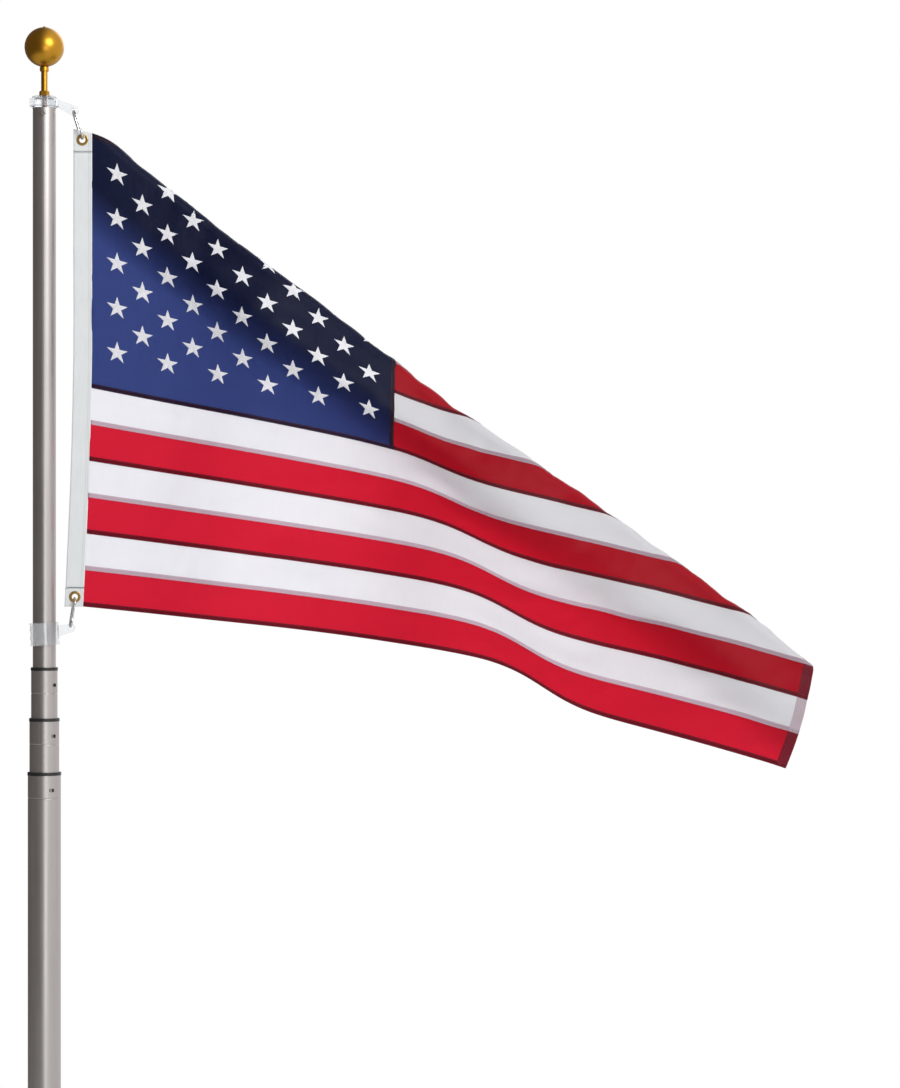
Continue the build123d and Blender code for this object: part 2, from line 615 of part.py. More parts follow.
def build_ball():
    """The clear plug, its lid and screw, and the ball on its stem and rod."""
    nut_foot = lid_foot() + TRUCK_LID
    stem_foot = nut_foot + NUT_HEIGHT
    centre = stem_foot + STEM_LENGTH + STEM_COLLAR_HEIGHT + BALL_DIAMETER / 2
    PARTS["truck_plug"] = truck_plug()
    PARTS["truck_lid"] = truck_lid()
    PARTS["truck_screw"] = truck_screw()
    PARTS["lid_nut"] = hexagon_nut(nut_foot)
    PARTS["ball_stem"] = ball_stem(stem_foot)
    PARTS["ball_rod"] = threaded_rod(nut_foot - ROD_BELOW_LID, centre - BALL_DIAMETER / 2 + ROD_INTO_BALL)
    PARTS["ball_lower_half"] = ball_half(centre, upper=False)
    PARTS["ball_upper_half"] = ball_half(centre, upper=True)


def build_hooks():
    """The clear ring and collar, the two snap hooks and the brass eyelets between them."""
    centre_line = SNAP_LENGTH - SNAP_WIRE
    slack = GROMMET_HOLE_RADIUS - SNAP_WIRE / 2 - HOOK_SEAT_GAP
    lug_slack = LUG_HOLE_RADIUS - SNAP_WIRE / 2 - HOOK_SEAT_GAP
    upper, lower = grommet_centres()
    upper_foot = upper[0], upper[1] + slack
    upper_top = lean(upper_foot, UPPER_SNAP_LEAN, -centre_line)
    lower_top = lower[0], lower[1] - slack
    lower_foot = lean(lower_top, LOWER_SNAP_LEAN, centre_line)
    PARTS["swivel_ring"] = swivel_ring((upper_top[0], upper_top[1] + lug_slack))
    PARTS["lower_collar"] = lower_collar((lower_foot[0], lower_foot[1] - lug_slack))
    for name, top, angle in (("upper", upper_top, UPPER_SNAP_LEAN), ("lower", lower_top, LOWER_SNAP_LEAN)):
        place = snap_place(top, angle)
        PARTS[f"{name}_snap"] = snap_body(place)
        PARTS[f"{name}_gate"] = snap_gate(place)
    PARTS["upper_grommet"] = grommet(upper)
    PARTS["lower_grommet"] = grommet(lower)


def build_flag():
    """The heading, the canton and the sewn stripes."""
    PARTS["heading"] = heading()
    canton_down = CANTON_STRIPES * STRIPE
    PARTS["canton"] = cloth_panel((0, CANTON_FLY - SEAM_GAP / 2), (0, canton_down - SEAM_GAP / 2))
    for index in range(STRIPES):
        start = CANTON_FLY + SEAM_GAP / 2 if index < CANTON_STRIPES else 0
        down = index * STRIPE + SEAM_GAP / 2, (index + 1) * STRIPE - SEAM_GAP / 2
        PARTS[f"stripe_{index + 1:02d}"] = cloth_panel((start, FLAG_FLY), down)


build_pole()
build_ball()
build_hooks()
build_flag()
os.makedirs("parts", exist_ok=True)
for node, shape in PARTS.items():
    export_step(shape, f"parts/{node}.step")
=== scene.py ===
"""The looks of a telescoping flagpole: satin tubes, a gold ball, clear fittings and a sewn, folded flag."""

import logging
import math
from dataclasses import dataclass, field
from enum import Enum

import bpy
import numpy as np
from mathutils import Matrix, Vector


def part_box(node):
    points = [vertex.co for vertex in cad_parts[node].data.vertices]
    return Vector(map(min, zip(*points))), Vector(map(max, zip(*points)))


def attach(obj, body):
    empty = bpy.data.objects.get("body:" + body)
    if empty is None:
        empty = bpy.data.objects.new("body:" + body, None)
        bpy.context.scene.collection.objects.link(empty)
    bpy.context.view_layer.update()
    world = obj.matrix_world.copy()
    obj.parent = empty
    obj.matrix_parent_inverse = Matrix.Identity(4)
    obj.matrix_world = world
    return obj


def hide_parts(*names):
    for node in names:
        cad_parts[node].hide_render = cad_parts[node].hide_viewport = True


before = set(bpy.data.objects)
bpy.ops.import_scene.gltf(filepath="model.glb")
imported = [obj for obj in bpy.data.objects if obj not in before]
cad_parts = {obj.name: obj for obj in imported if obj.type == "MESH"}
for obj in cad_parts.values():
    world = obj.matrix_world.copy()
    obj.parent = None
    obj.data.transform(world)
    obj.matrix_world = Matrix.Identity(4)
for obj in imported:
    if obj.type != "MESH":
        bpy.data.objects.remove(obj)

LOG = logging.getLogger("flagpole")
MM = 0.001
TAU = 2 * math.pi
BACK = np.array([0.0, 1.0, 0.0])
FOLD_SLOPE = 0.485
FLAT_MAP = "flat"

Colour = tuple[float, float, float, float]
Faces = list[np.ndarray]
Span = tuple[float, float]
Place = tuple[float, float, float]


def display(red: int, green: int, blue: int) -> Colour:
    """Turns a colour as a screen shows it, 0 to 255, into the linear colour that a shader takes.

    Each channel is divided by 255, and ((c + 0.055) / 1.055) to the power 2.4 undoes the screen's curve.

    Args:
        red: The red channel.
        green: The green channel.
        blue: The blue channel.

    Returns:
        The linear colour with an alpha of 1.
    """
    shown = np.array([red, green, blue]) / 255.0
    linear = np.where(shown <= 0.04045, shown / 12.92, ((shown + 0.055) / 1.055) ** 2.4)
    return float(linear[0]), float(linear[1]), float(linear[2]), 1.0


@dataclass(frozen=True)
class Signal:
    """One output of a shader node, which Python's operators turn into Math nodes."""

    graph: "Graph"
    socket: bpy.types.NodeSocket

    def __add__(self, other: "Signal | float") -> "Signal":
        """The sum."""
        return self.graph.maths("ADD", self, other)

    __radd__ = __add__

    def __sub__(self, other: "Signal | float") -> "Signal":
        """The difference."""
        return self.graph.maths("SUBTRACT", self, other)

    def __rsub__(self, other: float) -> "Signal":
        """The difference, from a number."""
        return self.graph.maths("SUBTRACT", other, self)

    def __mul__(self, other: "Signal | float") -> "Signal":
        """The product."""
        return self.graph.maths("MULTIPLY", self, other)

    __rmul__ = __mul__

    def sine(self) -> "Signal":
        """The sine, for a value in radians."""
        return self.graph.maths("SINE", self)

    def clamped(self, low: float, high: float) -> "Signal":
        """The value kept between two numbers."""
        return self.graph.maths("MINIMUM", self.graph.maths("MAXIMUM", self, low), high)


class Graph:
    """The node tree of one material or world, and the ways to add to it."""

    def __init__(self, tree: bpy.types.NodeTree) -> None:
        """Empties the tree.

        Args:
            tree: The node tree of a material or of the world.
        """
        self.tree = tree
        tree.nodes.clear()

    def add(
        self,
        kind: str,
        settings: dict[str, object] | None = None,
        sockets: dict[str | int, object] | None = None,
        output: str | int = 0,
    ) -> Signal:
        """Adds one node: its settings first, then the values or links of its sockets.

        Args:
            kind: The node's type.
            settings: Properties of the node, such as a Math node's operation.
            sockets: A value or a Signal for each input, by name or number.
            output: The output that the Signal stands for.

        Returns:
            The chosen output.
        """
        node = self.tree.nodes.new(kind)
        for name, value in (settings or {}).items():
            setattr(node, name, value)
        for name, value in (sockets or {}).items():
            if isinstance(value, Signal):
                self.tree.links.new(value.socket, node.inputs[name])
            else:
                node.inputs[name].default_value = value
        return Signal(self, node.outputs[output] if len(node.outputs) else None)

    def maths(self, operation: str, *values: "Signal | float") -> Signal:
        """A Math node on one, two or three values."""
        return self.add("ShaderNodeMath", {"operation": operation}, dict(enumerate(values)))

    def blend(self, share: Signal, first: "Signal | Colour", second: "Signal | Colour") -> Signal:
        """A Mix node between two colours, the second where the share is 1."""
        return self.add("ShaderNodeMix", {"data_type": "RGBA"}, {0: share, 6: first, 7: second}, 2)

    def noise(
        self, place: Signal, scale: float, detail: float = 3.0, stretch: tuple[float, ...] = (1.0, 1.0, 1.0)
    ) -> Signal:
        """Soft noise from 0 to 1 over a place, finer for a larger scale, and drawn out by the stretch."""
        spread = self.add("ShaderNodeMapping", {}, {"Vector": place, "Scale": stretch})
        return self.add("ShaderNodeTexNoise", {}, {"Vector": spread, "Scale": scale, "Detail": detail}, "Fac")

    def principled(self, sockets: dict[str | int, object]) -> Signal:
        """A Principled shader."""
        return self.add("ShaderNodeBsdfPrincipled", {}, sockets)

    def bump(self, height: Signal, strength: float = 1.0) -> Signal:
        """A normal from a height in metres."""
        return self.add("ShaderNodeBump", {}, {"Height": height, "Distance": 1.0, "Strength": strength})

    def place(self) -> Signal:
        """The point of the surface in the piece's own space."""
        return self.add("ShaderNodeTexCoord", {}, {}, "Object")

    def flat_place(self) -> tuple[Signal, Signal, Signal]:
        """The place on the flat cloth, in metres.

        Returns:
            The place as a vector, the way to the fly and the way down.
        """
        flat = self.add("ShaderNodeUVMap", {"uv_map": FLAT_MAP}, {})
        along = self.add("ShaderNodeSeparateXYZ", {}, {"Vector": flat}, "X")
        down = self.add("ShaderNodeSeparateXYZ", {}, {"Vector": flat}, "Y")
        return flat, along, down


@dataclass(frozen=True)
class Finish:
    """What every finish has: its name and its colour."""

    name: str
    colour: Colour

    def material(self) -> bpy.types.Material:
        """Makes the finish into a material, once for each name.

        Returns:
            The material.
        """
        found = bpy.data.materials.get(self.name)
        if found:
            return found
        made = bpy.data.materials.new(self.name)
        made.use_nodes = True
        made.diffuse_color = self.colour
        graph = Graph(made.node_tree)
        graph.add("ShaderNodeOutputMaterial", {}, {"Surface": self.surface(graph)})
        return made

    def surface(self, graph: Graph) -> Signal:
        """Builds the shader of the finish.

        Args:
            graph: The material's nodes.

        Returns:
            The shader.
        """
        raise NotImplementedError

    def tinted(self, graph: Graph, noise: Signal, spread: float) -> Signal:
        """Makes the colour darker and lighter by noise.

        Args:
            graph: The material's nodes.
            noise: From 0 for the darkest to 1 for the lightest.
            spread: The share of itself that the colour changes by either way.

        Returns:
            The colour.
        """
        dark = tuple(c * (1 - spread) for c in self.colour[:3]) + (1.0,)
        light = tuple(min(c * (1 + spread), 1.0) for c in self.colour[:3]) + (1.0,)
        return graph.blend(noise, dark, light)


@dataclass(frozen=True)
class Grain:
    """A noise in the piece's own space: its scale, its detail and how it is drawn out."""

    scale: float
    detail: float
    draw: tuple[float, ...] = (1.0, 1.0, 1.0)

    def over(self, graph: Graph, place: Signal) -> Signal:
        """The noise at a place."""
        return graph.noise(place, self.scale, self.detail, self.draw)


@dataclass(frozen=True)
class Hard(Finish):
    """A hard surface: a fine grain in its normal, and a broad cloud in its colour and roughness.

    Each pair of shares says how much the fine grain and the broad cloud count for.
    """

    roughness: float
    fine: Grain
    broad: Grain
    fine_height: float
    tint: float
    tint_shares: tuple[float, float]
    rough_shares: tuple[float, float]
    least_rough: float = 0.1
    metallic: float = 0.0
    transmission: float = 0.0
    refraction: float = 1.5

    def surface(self, graph: Graph) -> Signal:
        """The colour, roughness and normal from the sums of the fine grain and the broad cloud.

        Args:
            graph: The material's nodes.

        Returns:
            The shader.
        """
        place = graph.place()
        fine, broad = self.fine.over(graph, place), self.broad.over(graph, place)
        stain = fine * self.tint_shares[0] + broad * self.tint_shares[1]
        uneven = fine * self.rough_shares[0] + broad * self.rough_shares[1]
        return graph.principled(
            {
                "Base Color": self.tinted(graph, stain, self.tint),
                "Metallic": self.metallic,
                "Roughness": (uneven + self.roughness).clamped(self.least_rough, 0.9),
                "Transmission Weight": self.transmission,
                "IOR": self.refraction,
                "Normal": graph.bump(fine * self.fine_height),
            }
        )


@dataclass(frozen=True)
class DrawnMetal(Hard):
    """Metal with fine lines along the pole, such as a drawn and satined tube, and faint handling marks."""

    roughness: float = 0.22
    fine: Grain = Grain(260.0, 4.0, (1.0, 1.0, 0.012))
    broad: Grain = Grain(9.0, 5.0, (1.0, 1.0, 0.6))
    fine_height: float = 0.02 * MM
    tint: float = 0.16
    tint_shares: tuple[float, float] = (0.6, 0.4)
    rough_shares: tuple[float, float] = (0.16, 0.14)
    metallic: float = 0.9


@dataclass(frozen=True)
class CastMetal(Hard):
    """Metal with an even satin, such as gold plate, brass or bent steel wire."""

    roughness: float = 0.18
    fine: Grain = Grain(900.0, 2.0)
    broad: Grain = Grain(30.0, 4.0)
    fine_height: float = 0.01 * MM
    tint: float = 0.14
    tint_shares: tuple[float, float] = (0.0, 1.0)
    rough_shares: tuple[float, float] = (0.06, 0.18)
    least_rough: float = 0.08
    metallic: float = 1.0


@dataclass(frozen=True)
class Moulded(Hard):
    """Opaque moulded plastic with a fine texture and rubbed, duller patches."""

    roughness: float = 0.36
    fine: Grain = Grain(1400.0, 2.0)
    broad: Grain = Grain(60.0, 4.0)
    fine_height: float = 0.03 * MM
    tint: float = 0.25
    tint_shares: tuple[float, float] = (0.0, 1.0)
    rough_shares: tuple[float, float] = (0.0, 0.2)
    least_rough: float = 0.2


@dataclass(frozen=True)
class Clear(Hard):
    """Clear moulded plastic with faint flow lines and a little haze."""

    roughness: float = 0.06
    fine: Grain = Grain(45.0, 3.0, (1.0, 1.0, 2.5))
    broad: Grain = Grain(45.0, 3.0, (1.0, 1.0, 2.5))
    fine_height: float = 0.12 * MM
    tint: float = 0.0
    tint_shares: tuple[float, float] = (1.0, 0.0)
    rough_shares: tuple[float, float] = (0.08, 0.0)
    least_rough: float = 0.02
    transmission: float = 0.92
    refraction: float = 1.49


@dataclass(frozen=True)
class Woven(Finish):
    """Woven cloth: threads both ways, soft cockles and light through it.

    The glow is the colour of the light that comes through, which is purer than what the face reflects.
    Along the flag's fold line a band is painted in shade: its colour is darkened there, and less light comes
    through.
    """

    glow: Colour = (1.0, 1.0, 1.0, 1.0)
    thread: float = 0.45 * MM
    thread_height: float = 0.03 * MM
    roughness: float = 0.5
    cockle_height: float = 0.5 * MM
    through: float = 0.6
    sheen: float = 0.1
    gloss: float = 0.12
    fold_slope: float = FOLD_SLOPE
    # Painted shade along the fold: the band's half-width, its soft edge, the share of colour kept in it, and
    # the share of light through kept in it.
    painted_band: float = 0.1
    fade: float = 0.1
    painted_shade_dim: float = 0.6
    painted_band_through: float = 0.25
    tint: float = 0.12
    cockle_scale: float = 38.0
    cloud_scale: float = 7.0
    slub_scale: float = 220.0
    slub_draw: tuple[float, ...] = (1.0, 0.12, 1.0)

    def surface(self, graph: Graph) -> Signal:
        """Cloth whose height is a sine along times a sine down, for the weave, plus soft cockles.

        Args:
            graph: The material's nodes.

        Returns:
            The shader.
        """
        flat, along, down = graph.flat_place()
        turn = TAU / self.thread
        weave = (along * turn).sine() * (down * turn).sine()
        cockles = graph.noise(flat, self.cockle_scale, 3.0)
        cloud = graph.noise(flat, self.cloud_scale, 4.0)
        slub = graph.noise(flat, self.slub_scale, 2.0, self.slub_draw)
        normal = graph.bump(weave * self.thread_height + cockles * self.cockle_height)
        # Painted shade: a band along the fold line where the colour is darkened and the light through the
        # cloth is cut.
        apart = graph.maths("ABSOLUTE", down - along * self.fold_slope)
        unshaded = ((apart - self.painted_band) * (1 / self.fade)).clamped(0.0, 1.0)
        plain = self.tinted(graph, cloud * 0.6 + slub * 0.4, self.tint)
        painted_shade_colour = tuple(c * self.painted_shade_dim for c in self.colour[:3]) + (1.0,)
        colour = graph.blend(unshaded, painted_shade_colour, plain)
        cloth = graph.principled(
            {
                "Base Color": colour,
                "Roughness": (cloud * 0.12 + (self.roughness - 0.06)).clamped(0.2, 0.95),
                "Specular IOR Level": self.gloss,
                "Sheen Weight": self.sheen,
                "Sheen Roughness": 0.4,
                "Normal": normal,
            }
        )
        lit = graph.add("ShaderNodeBsdfTranslucent", {}, {"Color": self.glow, "Normal": normal})
        least = self.through * self.painted_band_through
        share = unshaded * (self.through - least) + least
        return graph.add("ShaderNodeMixShader", {}, {0: share, 1: cloth, 2: lit})


@dataclass(frozen=True)
class Thread(Finish):
    """Sewing thread, or threads laid side by side as in a sewn star."""

    lay: float = 0.5 * MM
    height: float = 0.06 * MM
    cloud_scale: float = 300.0

    def surface(self, graph: Graph) -> Signal:
        """Silky thread with a line for each lay across the flat map's first way.

        Args:
            graph: The material's nodes.

        Returns:
            The shader.
        """
        flat, along, _ = graph.flat_place()
        lines = (along * (TAU / self.lay)).sine()
        cloud = graph.noise(flat, self.cloud_scale, 3.0)
        return graph.principled(
            {
                "Base Color": self.tinted(graph, lines * 0.25 + cloud * 0.5 + 0.1, 0.1),
                "Roughness": (cloud * 0.2 + 0.32).clamped(0.2, 0.8),
                "Sheen Weight": 0.3,
                "Normal": graph.bump(lines * self.height),
            }
        )


class Dye(Enum):
    """The cloths of the flag: what its weave, its folded seams and its thread look like."""

    RED = "red"
    WHITE = "white"
    NAVY = "navy"

    @property
    def cloth(self) -> Woven:
        """The finish of the cloth itself."""
        return {
            # The dim share on each cloth sets how dark its painted shade along the fold is.
            Dye.RED: Woven("red_nylon", display(222, 8, 38), display(236, 118, 146), painted_shade_dim=0.5),
            Dye.WHITE: Woven("white_nylon", display(246, 245, 249), display(247, 247, 251), painted_shade_dim=0.74),
            Dye.NAVY: Woven(
                "navy_nylon", display(25, 36, 88), display(150, 165, 214), sheen=0.03, painted_shade_dim=0.25
            ),
        }[self]

    def folded(self, kind: str, *colour: int) -> Woven:
        """This cloth where layers lie folded over each other, and no light comes through."""
        return Woven(f"{self.value}_{kind}", display(*colour), through=0.0, cockle_height=0.2 * MM)

    @property
    def seam(self) -> Woven:
        """The finish of a seam folded over on this cloth, its colour painted darker as shade."""
        # Painted shade: darker than the open cloth, as where the layers block the light from behind; tinged
        # red on the white and navy.
        shaded_fold_colours = {Dye.RED: (104, 6, 26), Dye.WHITE: (198, 172, 186), Dye.NAVY: (38, 16, 40)}
        return self.folded("seam", *shaded_fold_colours[self])

    @property
    def hem(self) -> Woven:
        """The finish of the wide hem at the fly on this cloth, its colour painted darker as shade."""
        # Painted shade: darker than the open cloth, as where the layers block the light from behind; tinged
        # red on the white and navy.
        shaded_fold_colours = {Dye.RED: (128, 26, 44), Dye.WHITE: (222, 202, 212), Dye.NAVY: (30, 24, 60)}
        return self.folded("hem", *shaded_fold_colours[self])

    @property
    def thread(self) -> Thread:
        """The finish of the sewing thread on this cloth."""
        return {
            Dye.RED: Thread("red_thread", display(150, 20, 40)),
            Dye.WHITE: Thread("white_thread", display(232, 226, 236)),
            Dye.NAVY: Thread("navy_thread", display(52, 40, 84)),
        }[self]

    @property
    def slot(self) -> str:
        """The record's slot for this cloth."""
        return f"{self.value}_cloth"


@dataclass(frozen=True)
class Shape:
    """A surface: points in metres, with the last axis as X, Y and Z, and rows of point numbers as faces.

    The flat places are those of the points on the flat cloth, or X and Z where there are none.
    """

    points: np.ndarray
    faces: Faces
    flat: np.ndarray | None = None


def linked(name: str, data: bpy.types.ID) -> bpy.types.Object:
    """Makes an object and links it to the scene.

    Args:
        name: The object's name.
        data: Its mesh, lamp or camera.

    Returns:
        The new object.
    """
    made = bpy.data.objects.new(name, data)
    bpy.context.scene.collection.objects.link(made)
    return made


def piece(
    name: str, shape: Shape, finish: Finish, body: str, crease: float | None = None
) -> bpy.types.Object:
    """Makes one piece from its points and faces, in place, and hangs it on its body.

    Args:
        name: The piece's name.
        shape: Its surface.
        finish: What it is made of.
        body: The body that carries it.
        crease: Edges sharper than this many degrees stay sharp, or None for none.

    Returns:
        The new object.
    """
    mesh = bpy.data.meshes.new(name)
    points = shape.points.reshape(-1, 3)
    mesh.from_pydata(points.tolist(), [], [row for group in shape.faces for row in group.tolist()])
    corners = np.empty(len(mesh.loops), np.int32)
    mesh.loops.foreach_get("vertex_index", corners)
    places = points[:, [0, 2]] if shape.flat is None else shape.flat.reshape(-1, 2)
    mesh.uv_layers.new(name=FLAT_MAP).data.foreach_set("uv", places[corners].astype(np.float32).ravel())
    mesh.polygons.foreach_set("use_smooth", np.ones(len(mesh.polygons), bool))
    if crease is not None:
        mesh.set_sharp_from_angle(angle=math.radians(crease))
    mesh.materials.append(finish.material())
    made = linked(name, mesh)
    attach(made, body)
    LOG.info("%s: %d faces on %s", name, len(mesh.polygons), body)
    return made


def cells(rows: int, columns: int, first: int = 0, closed: bool = False) -> np.ndarray:
    """The four corners of each cell of a grid of points.

    Args:
        rows: The number of rows of points.
        columns: The number of points in a row.
        first: The number of the grid's first point.
        closed: Whether each row closes on itself.

    Returns:
        One row of four point numbers for each cell.
    """
    index = np.arange(rows * columns).reshape(rows, columns) + first
    if closed:
        index = np.concatenate([index, index[:, :1]], axis=1)
    corners = index[:-1, :-1], index[1:, :-1], index[1:, 1:], index[:-1, 1:]
    return np.stack(corners, axis=-1).reshape(-1, 4)


def unit(vectors: np.ndarray) -> np.ndarray:
    """The vectors, each divided by its length."""
    return vectors / np.linalg.norm(vectors, axis=-1, keepdims=True)


def edge_cells(rim: np.ndarray, count: int) -> np.ndarray:
    """Joins a closed rim of points to the same points of a second surface.

    Args:
        rim: The numbers of the rim's points, in order.
        count: How many numbers further on the second surface's points are.

    Returns:
        One row of four point numbers for each step along the rim.
    """
    ahead = np.roll(rim, -1)
    return np.stack([ahead, rim, rim + count, ahead + count], axis=-1)


def closed_sheet(upper: np.ndarray, under: np.ndarray) -> tuple[np.ndarray, Faces]:
    """Joins two facing grids of points round their edge into one closed surface.

    Args:
        upper: The grid that faces the way in which the rows cross the columns.
        under: The grid on the other side.

    Returns:
        The points and the faces.
    """
    rows, columns = upper.shape[:2]
    count = rows * columns
    index = np.arange(count).reshape(rows, columns)
    rim = np.concatenate([index[:-1, 0], index[-1, :-1], index[:0:-1, -1], index[0, :0:-1]])
    faces = [cells(rows, columns), cells(rows, columns, count)[:, ::-1], edge_cells(rim, count)]
    return np.stack([upper, under]).reshape(-1, 3), faces


def closed_tube(rings: np.ndarray) -> Faces:
    """The faces of a tube of closed rings of points, with a flat cap on each end.

    Args:
        rings: Points by ring and place round the ring.

    Returns:
        The side cells and the two caps.
    """
    rows, columns = rings.shape[:2]
    first = np.arange(columns)[None, :]
    return [cells(rows, columns, closed=True), first, first[:, ::-1] + (rows - 1) * columns]


@dataclass(frozen=True)
class Crease:
    """One soft wrinkle pattern on the flat cloth: a wave with its own envelope.

    The height is the crest times sin(TAU (a cos h + d sin h) / length + phase + bend), where a and d
    are the places along and down, h the heading, and the bend a slower wave across the first. The
    envelope is a third wave squared, so that the pattern comes and goes.
    """

    length: float
    heading: float
    crest: float
    phase: float
    patch: float
    bend: float = 1.3
    bend_length: float = 2.7
    patch_slant: float = 0.6

    def height(self, along: np.ndarray, down: np.ndarray) -> np.ndarray:
        """The wrinkle's height.

        Args:
            along: The way from the hoist to the fly.
            down: The way down the hoist.

        Returns:
            The height at each place.
        """
        turn = math.radians(self.heading)
        run = along * math.cos(turn) + down * math.sin(turn)
        side = down * math.cos(turn) - along * math.sin(turn)
        bend = self.bend * np.sin(TAU * side / (self.bend_length * self.length) + 2 * self.phase)
        patch = np.sin(TAU * (run * self.patch_slant + side) / self.patch + 1.7 * self.phase) ** 2
        return self.crest * patch * np.sin(TAU * run / self.length + self.phase + bend)


@dataclass(frozen=True)
class Hang:
    """How the flag hangs: the middle of its cloth for any place on the flat flag, in metres.

    The threads from hoist to fly sink by a share of their length, step down once more in the lower
    half, and swing in one long wave, with a swell to the front below the fold. Past a slanted fold
    line the cloth turns over and waves away behind. The main form is the same as that of the solids,
    and creases are added along its normal.
    """

    rim: float
    hoist: float = 0.914
    fly: float = 1.486
    stripes: int = 13
    below_rim: float = 47.7 * MM
    reach: float = 91.7 * MM
    drift: float = 17.4 * MM
    drift_from: float = 0.4
    drift_curve: float = 1.6
    fly_reach: float = 0.958
    fly_draw: float = 0.046066
    fly_draw_curve: int = 4
    sink_at_top: float = 0.357
    sink_down: tuple[float, float] = (-0.363, 0.101)
    sink_along: tuple[float, float] = (-0.0805, 0.0563)
    sink_both: float = 0.088
    step_along: float = 0.824
    step_shift: float = 0.61
    step_down: float = 0.7
    step_length: float = 0.0915
    step_drop: float = 37.6 * MM
    wave_length: float = 0.52
    wave_depth: float = 24 * MM
    wave_shear: float = 2.0944
    wave_from_hoist: float = 0.35
    swell_below_fold: float = 0.11
    swell_length: float = 0.07
    swell_depth: float = 30 * MM
    fold_slope: float = FOLD_SLOPE
    fold_turn: float = 34 * MM
    fold_wave: float = 0.32
    fold_swing: float = 50.0
    fold_dip: float = 36.0
    fold_step: float = 1 * MM
    slope_step: float = 1.5 * MM
    crease_from_hoist: float = 0.12
    pucker: float = 0.35 * MM
    pucker_length: float = 14 * MM
    pucker_reach: float = 9 * MM
    pucker_phase: float = 2.4
    pucker_bend: float = 1.5
    pucker_turns: float = 23.0
    creases: tuple[Crease, ...] = (
        Crease(0.150, 62.0, 2.2 * MM, 0.4, 0.90),
        Crease(0.095, 48.0, 1.3 * MM, 1.9, 0.62),
        Crease(0.062, 71.0, 0.8 * MM, 3.1, 0.41),
        Crease(0.210, 12.0, 1.6 * MM, 4.4, 1.10),
        Crease(0.041, 35.0, 0.4 * MM, 5.2, 0.33),
    )

    @property
    def top(self) -> float:
        """The height of the flag's upper hoist corner."""
        return self.rim - self.below_rim

    @property
    def stripe(self) -> float:
        """The width of a stripe."""
        return self.hoist / self.stripes

    def seam_x(self, down: np.ndarray) -> np.ndarray:
        """How far the hoist seam stands from the pole's axis, a power curve from a height down."""
        share = np.clip((down - self.drift_from) / (self.hoist - self.drift_from), 0, 1)
        return self.reach - self.drift * share**self.drift_curve

    def front(self, along: np.ndarray, down: np.ndarray) -> np.ndarray:
        """The cloth in front of the fold.

        The sink is the way along times a polynomial in both ways, plus a step with the form of a
        hyperbolic tangent. The depth is a sine wave less a bell-shaped swell, and grows softly from
        nothing at the hoist.

        Args:
            along: The way from the hoist to the fly.
            down: The way down the hoist.

        Returns:
            The points, with the last axis as X, Y and Z.
        """
        p, q = along / self.fly, down / self.hoist
        share = self.sink_at_top + self.sink_down[0] * q + self.sink_down[1] * q * q
        share += self.sink_along[0] * p + self.sink_along[1] * p * p + self.sink_both * p * q
        step = self.step_along + self.step_shift * (down - self.step_down)
        fall = np.tanh((along - step) / self.step_length) + np.tanh(step / self.step_length)
        sink = along * share + self.step_drop * q * fall
        x = self.seam_x(down) + self.fly_reach * along - self.fly_draw * q**self.fly_draw_curve * p * along
        below = np.maximum(down - self.fold_slope * along, 0)
        depth = self.wave_depth * np.sin(TAU * (along / self.wave_length + below / self.wave_shear))
        depth -= self.swell_depth * np.exp(-(((below - self.swell_below_fold) / self.swell_length) ** 2))
        near = np.clip(along / self.wave_from_hoist, 0, 1)
        return np.stack([x, near * near * (3 - 2 * near) * depth, self.top - down - sink], axis=-1)

    def middle(self, along: np.ndarray, down: np.ndarray) -> np.ndarray:
        """The whole cloth without its creases: in front of the fold, or turned over behind it.

        Past the fold, the course of the cloth across the fold line is a curve at unit speed. Its
        heading swings about straight back, and starts upward in line with the front.

        Args:
            along: The way from the hoist to the fly.
            down: The way down the hoist.

        Returns:
            The points, with the last axis as X, Y and Z.
        """
        angle = math.atan(self.fold_slope)
        past = np.maximum(along * math.sin(angle) - down * math.cos(angle), 0)
        past = np.where(along <= 0, 0, past)
        on_fold = along * math.cos(angle) + down * math.sin(angle)
        start = self.front(on_fold * math.cos(angle), on_fold * math.sin(angle))
        corner = self.front(np.array(0.0), np.array(0.0))
        line = unit(self.front(np.array(self.fly), np.array(self.fly * self.fold_slope)) - corner)
        up = unit(np.cross(line, BACK))
        here = (np.arange(int(self.fly / self.fold_step)) + 0.5) * self.fold_step
        heading = np.radians(90 + self.fold_dip + self.fold_swing * np.cos(TAU * here / self.fold_wave))
        heading *= 1 - np.exp(-here / self.fold_turn)
        course = np.concatenate([[0.0], here + self.fold_step / 2])
        rise = np.interp(past, course, np.concatenate([[0.0], np.cumsum(np.cos(heading)) * self.fold_step]))
        back = np.interp(past, course, np.concatenate([[0.0], np.cumsum(np.sin(heading)) * self.fold_step]))
        folded = start + up * rise[..., None] + BACK * back[..., None]
        return np.where((past > 0)[..., None], folded, self.front(along, down))

    def relief(self, along: np.ndarray, down: np.ndarray) -> np.ndarray:
        """The height of the creases and of the puckers that the sewing draws beside each seam.

        Creases fade out towards the heading. A pucker is a short wave along the seam, which dies away
        with the distance from it.

        Args:
            along: The way from the hoist to the fly.
            down: The way down the hoist.

        Returns:
            The height at each place.
        """
        near = np.clip(along / self.crease_from_hoist, 0, 1)
        height = sum(crease.height(along, down) for crease in self.creases) * near
        seam = np.round(down / self.stripe)
        gap = np.abs(down - seam * self.stripe)
        bend = self.pucker_bend * np.sin(along * self.pucker_turns + seam)
        pull = np.sin(TAU * along / self.pucker_length + self.pucker_phase * seam + bend)
        return height + self.pucker * pull * np.exp(-gap / self.pucker_reach) * near

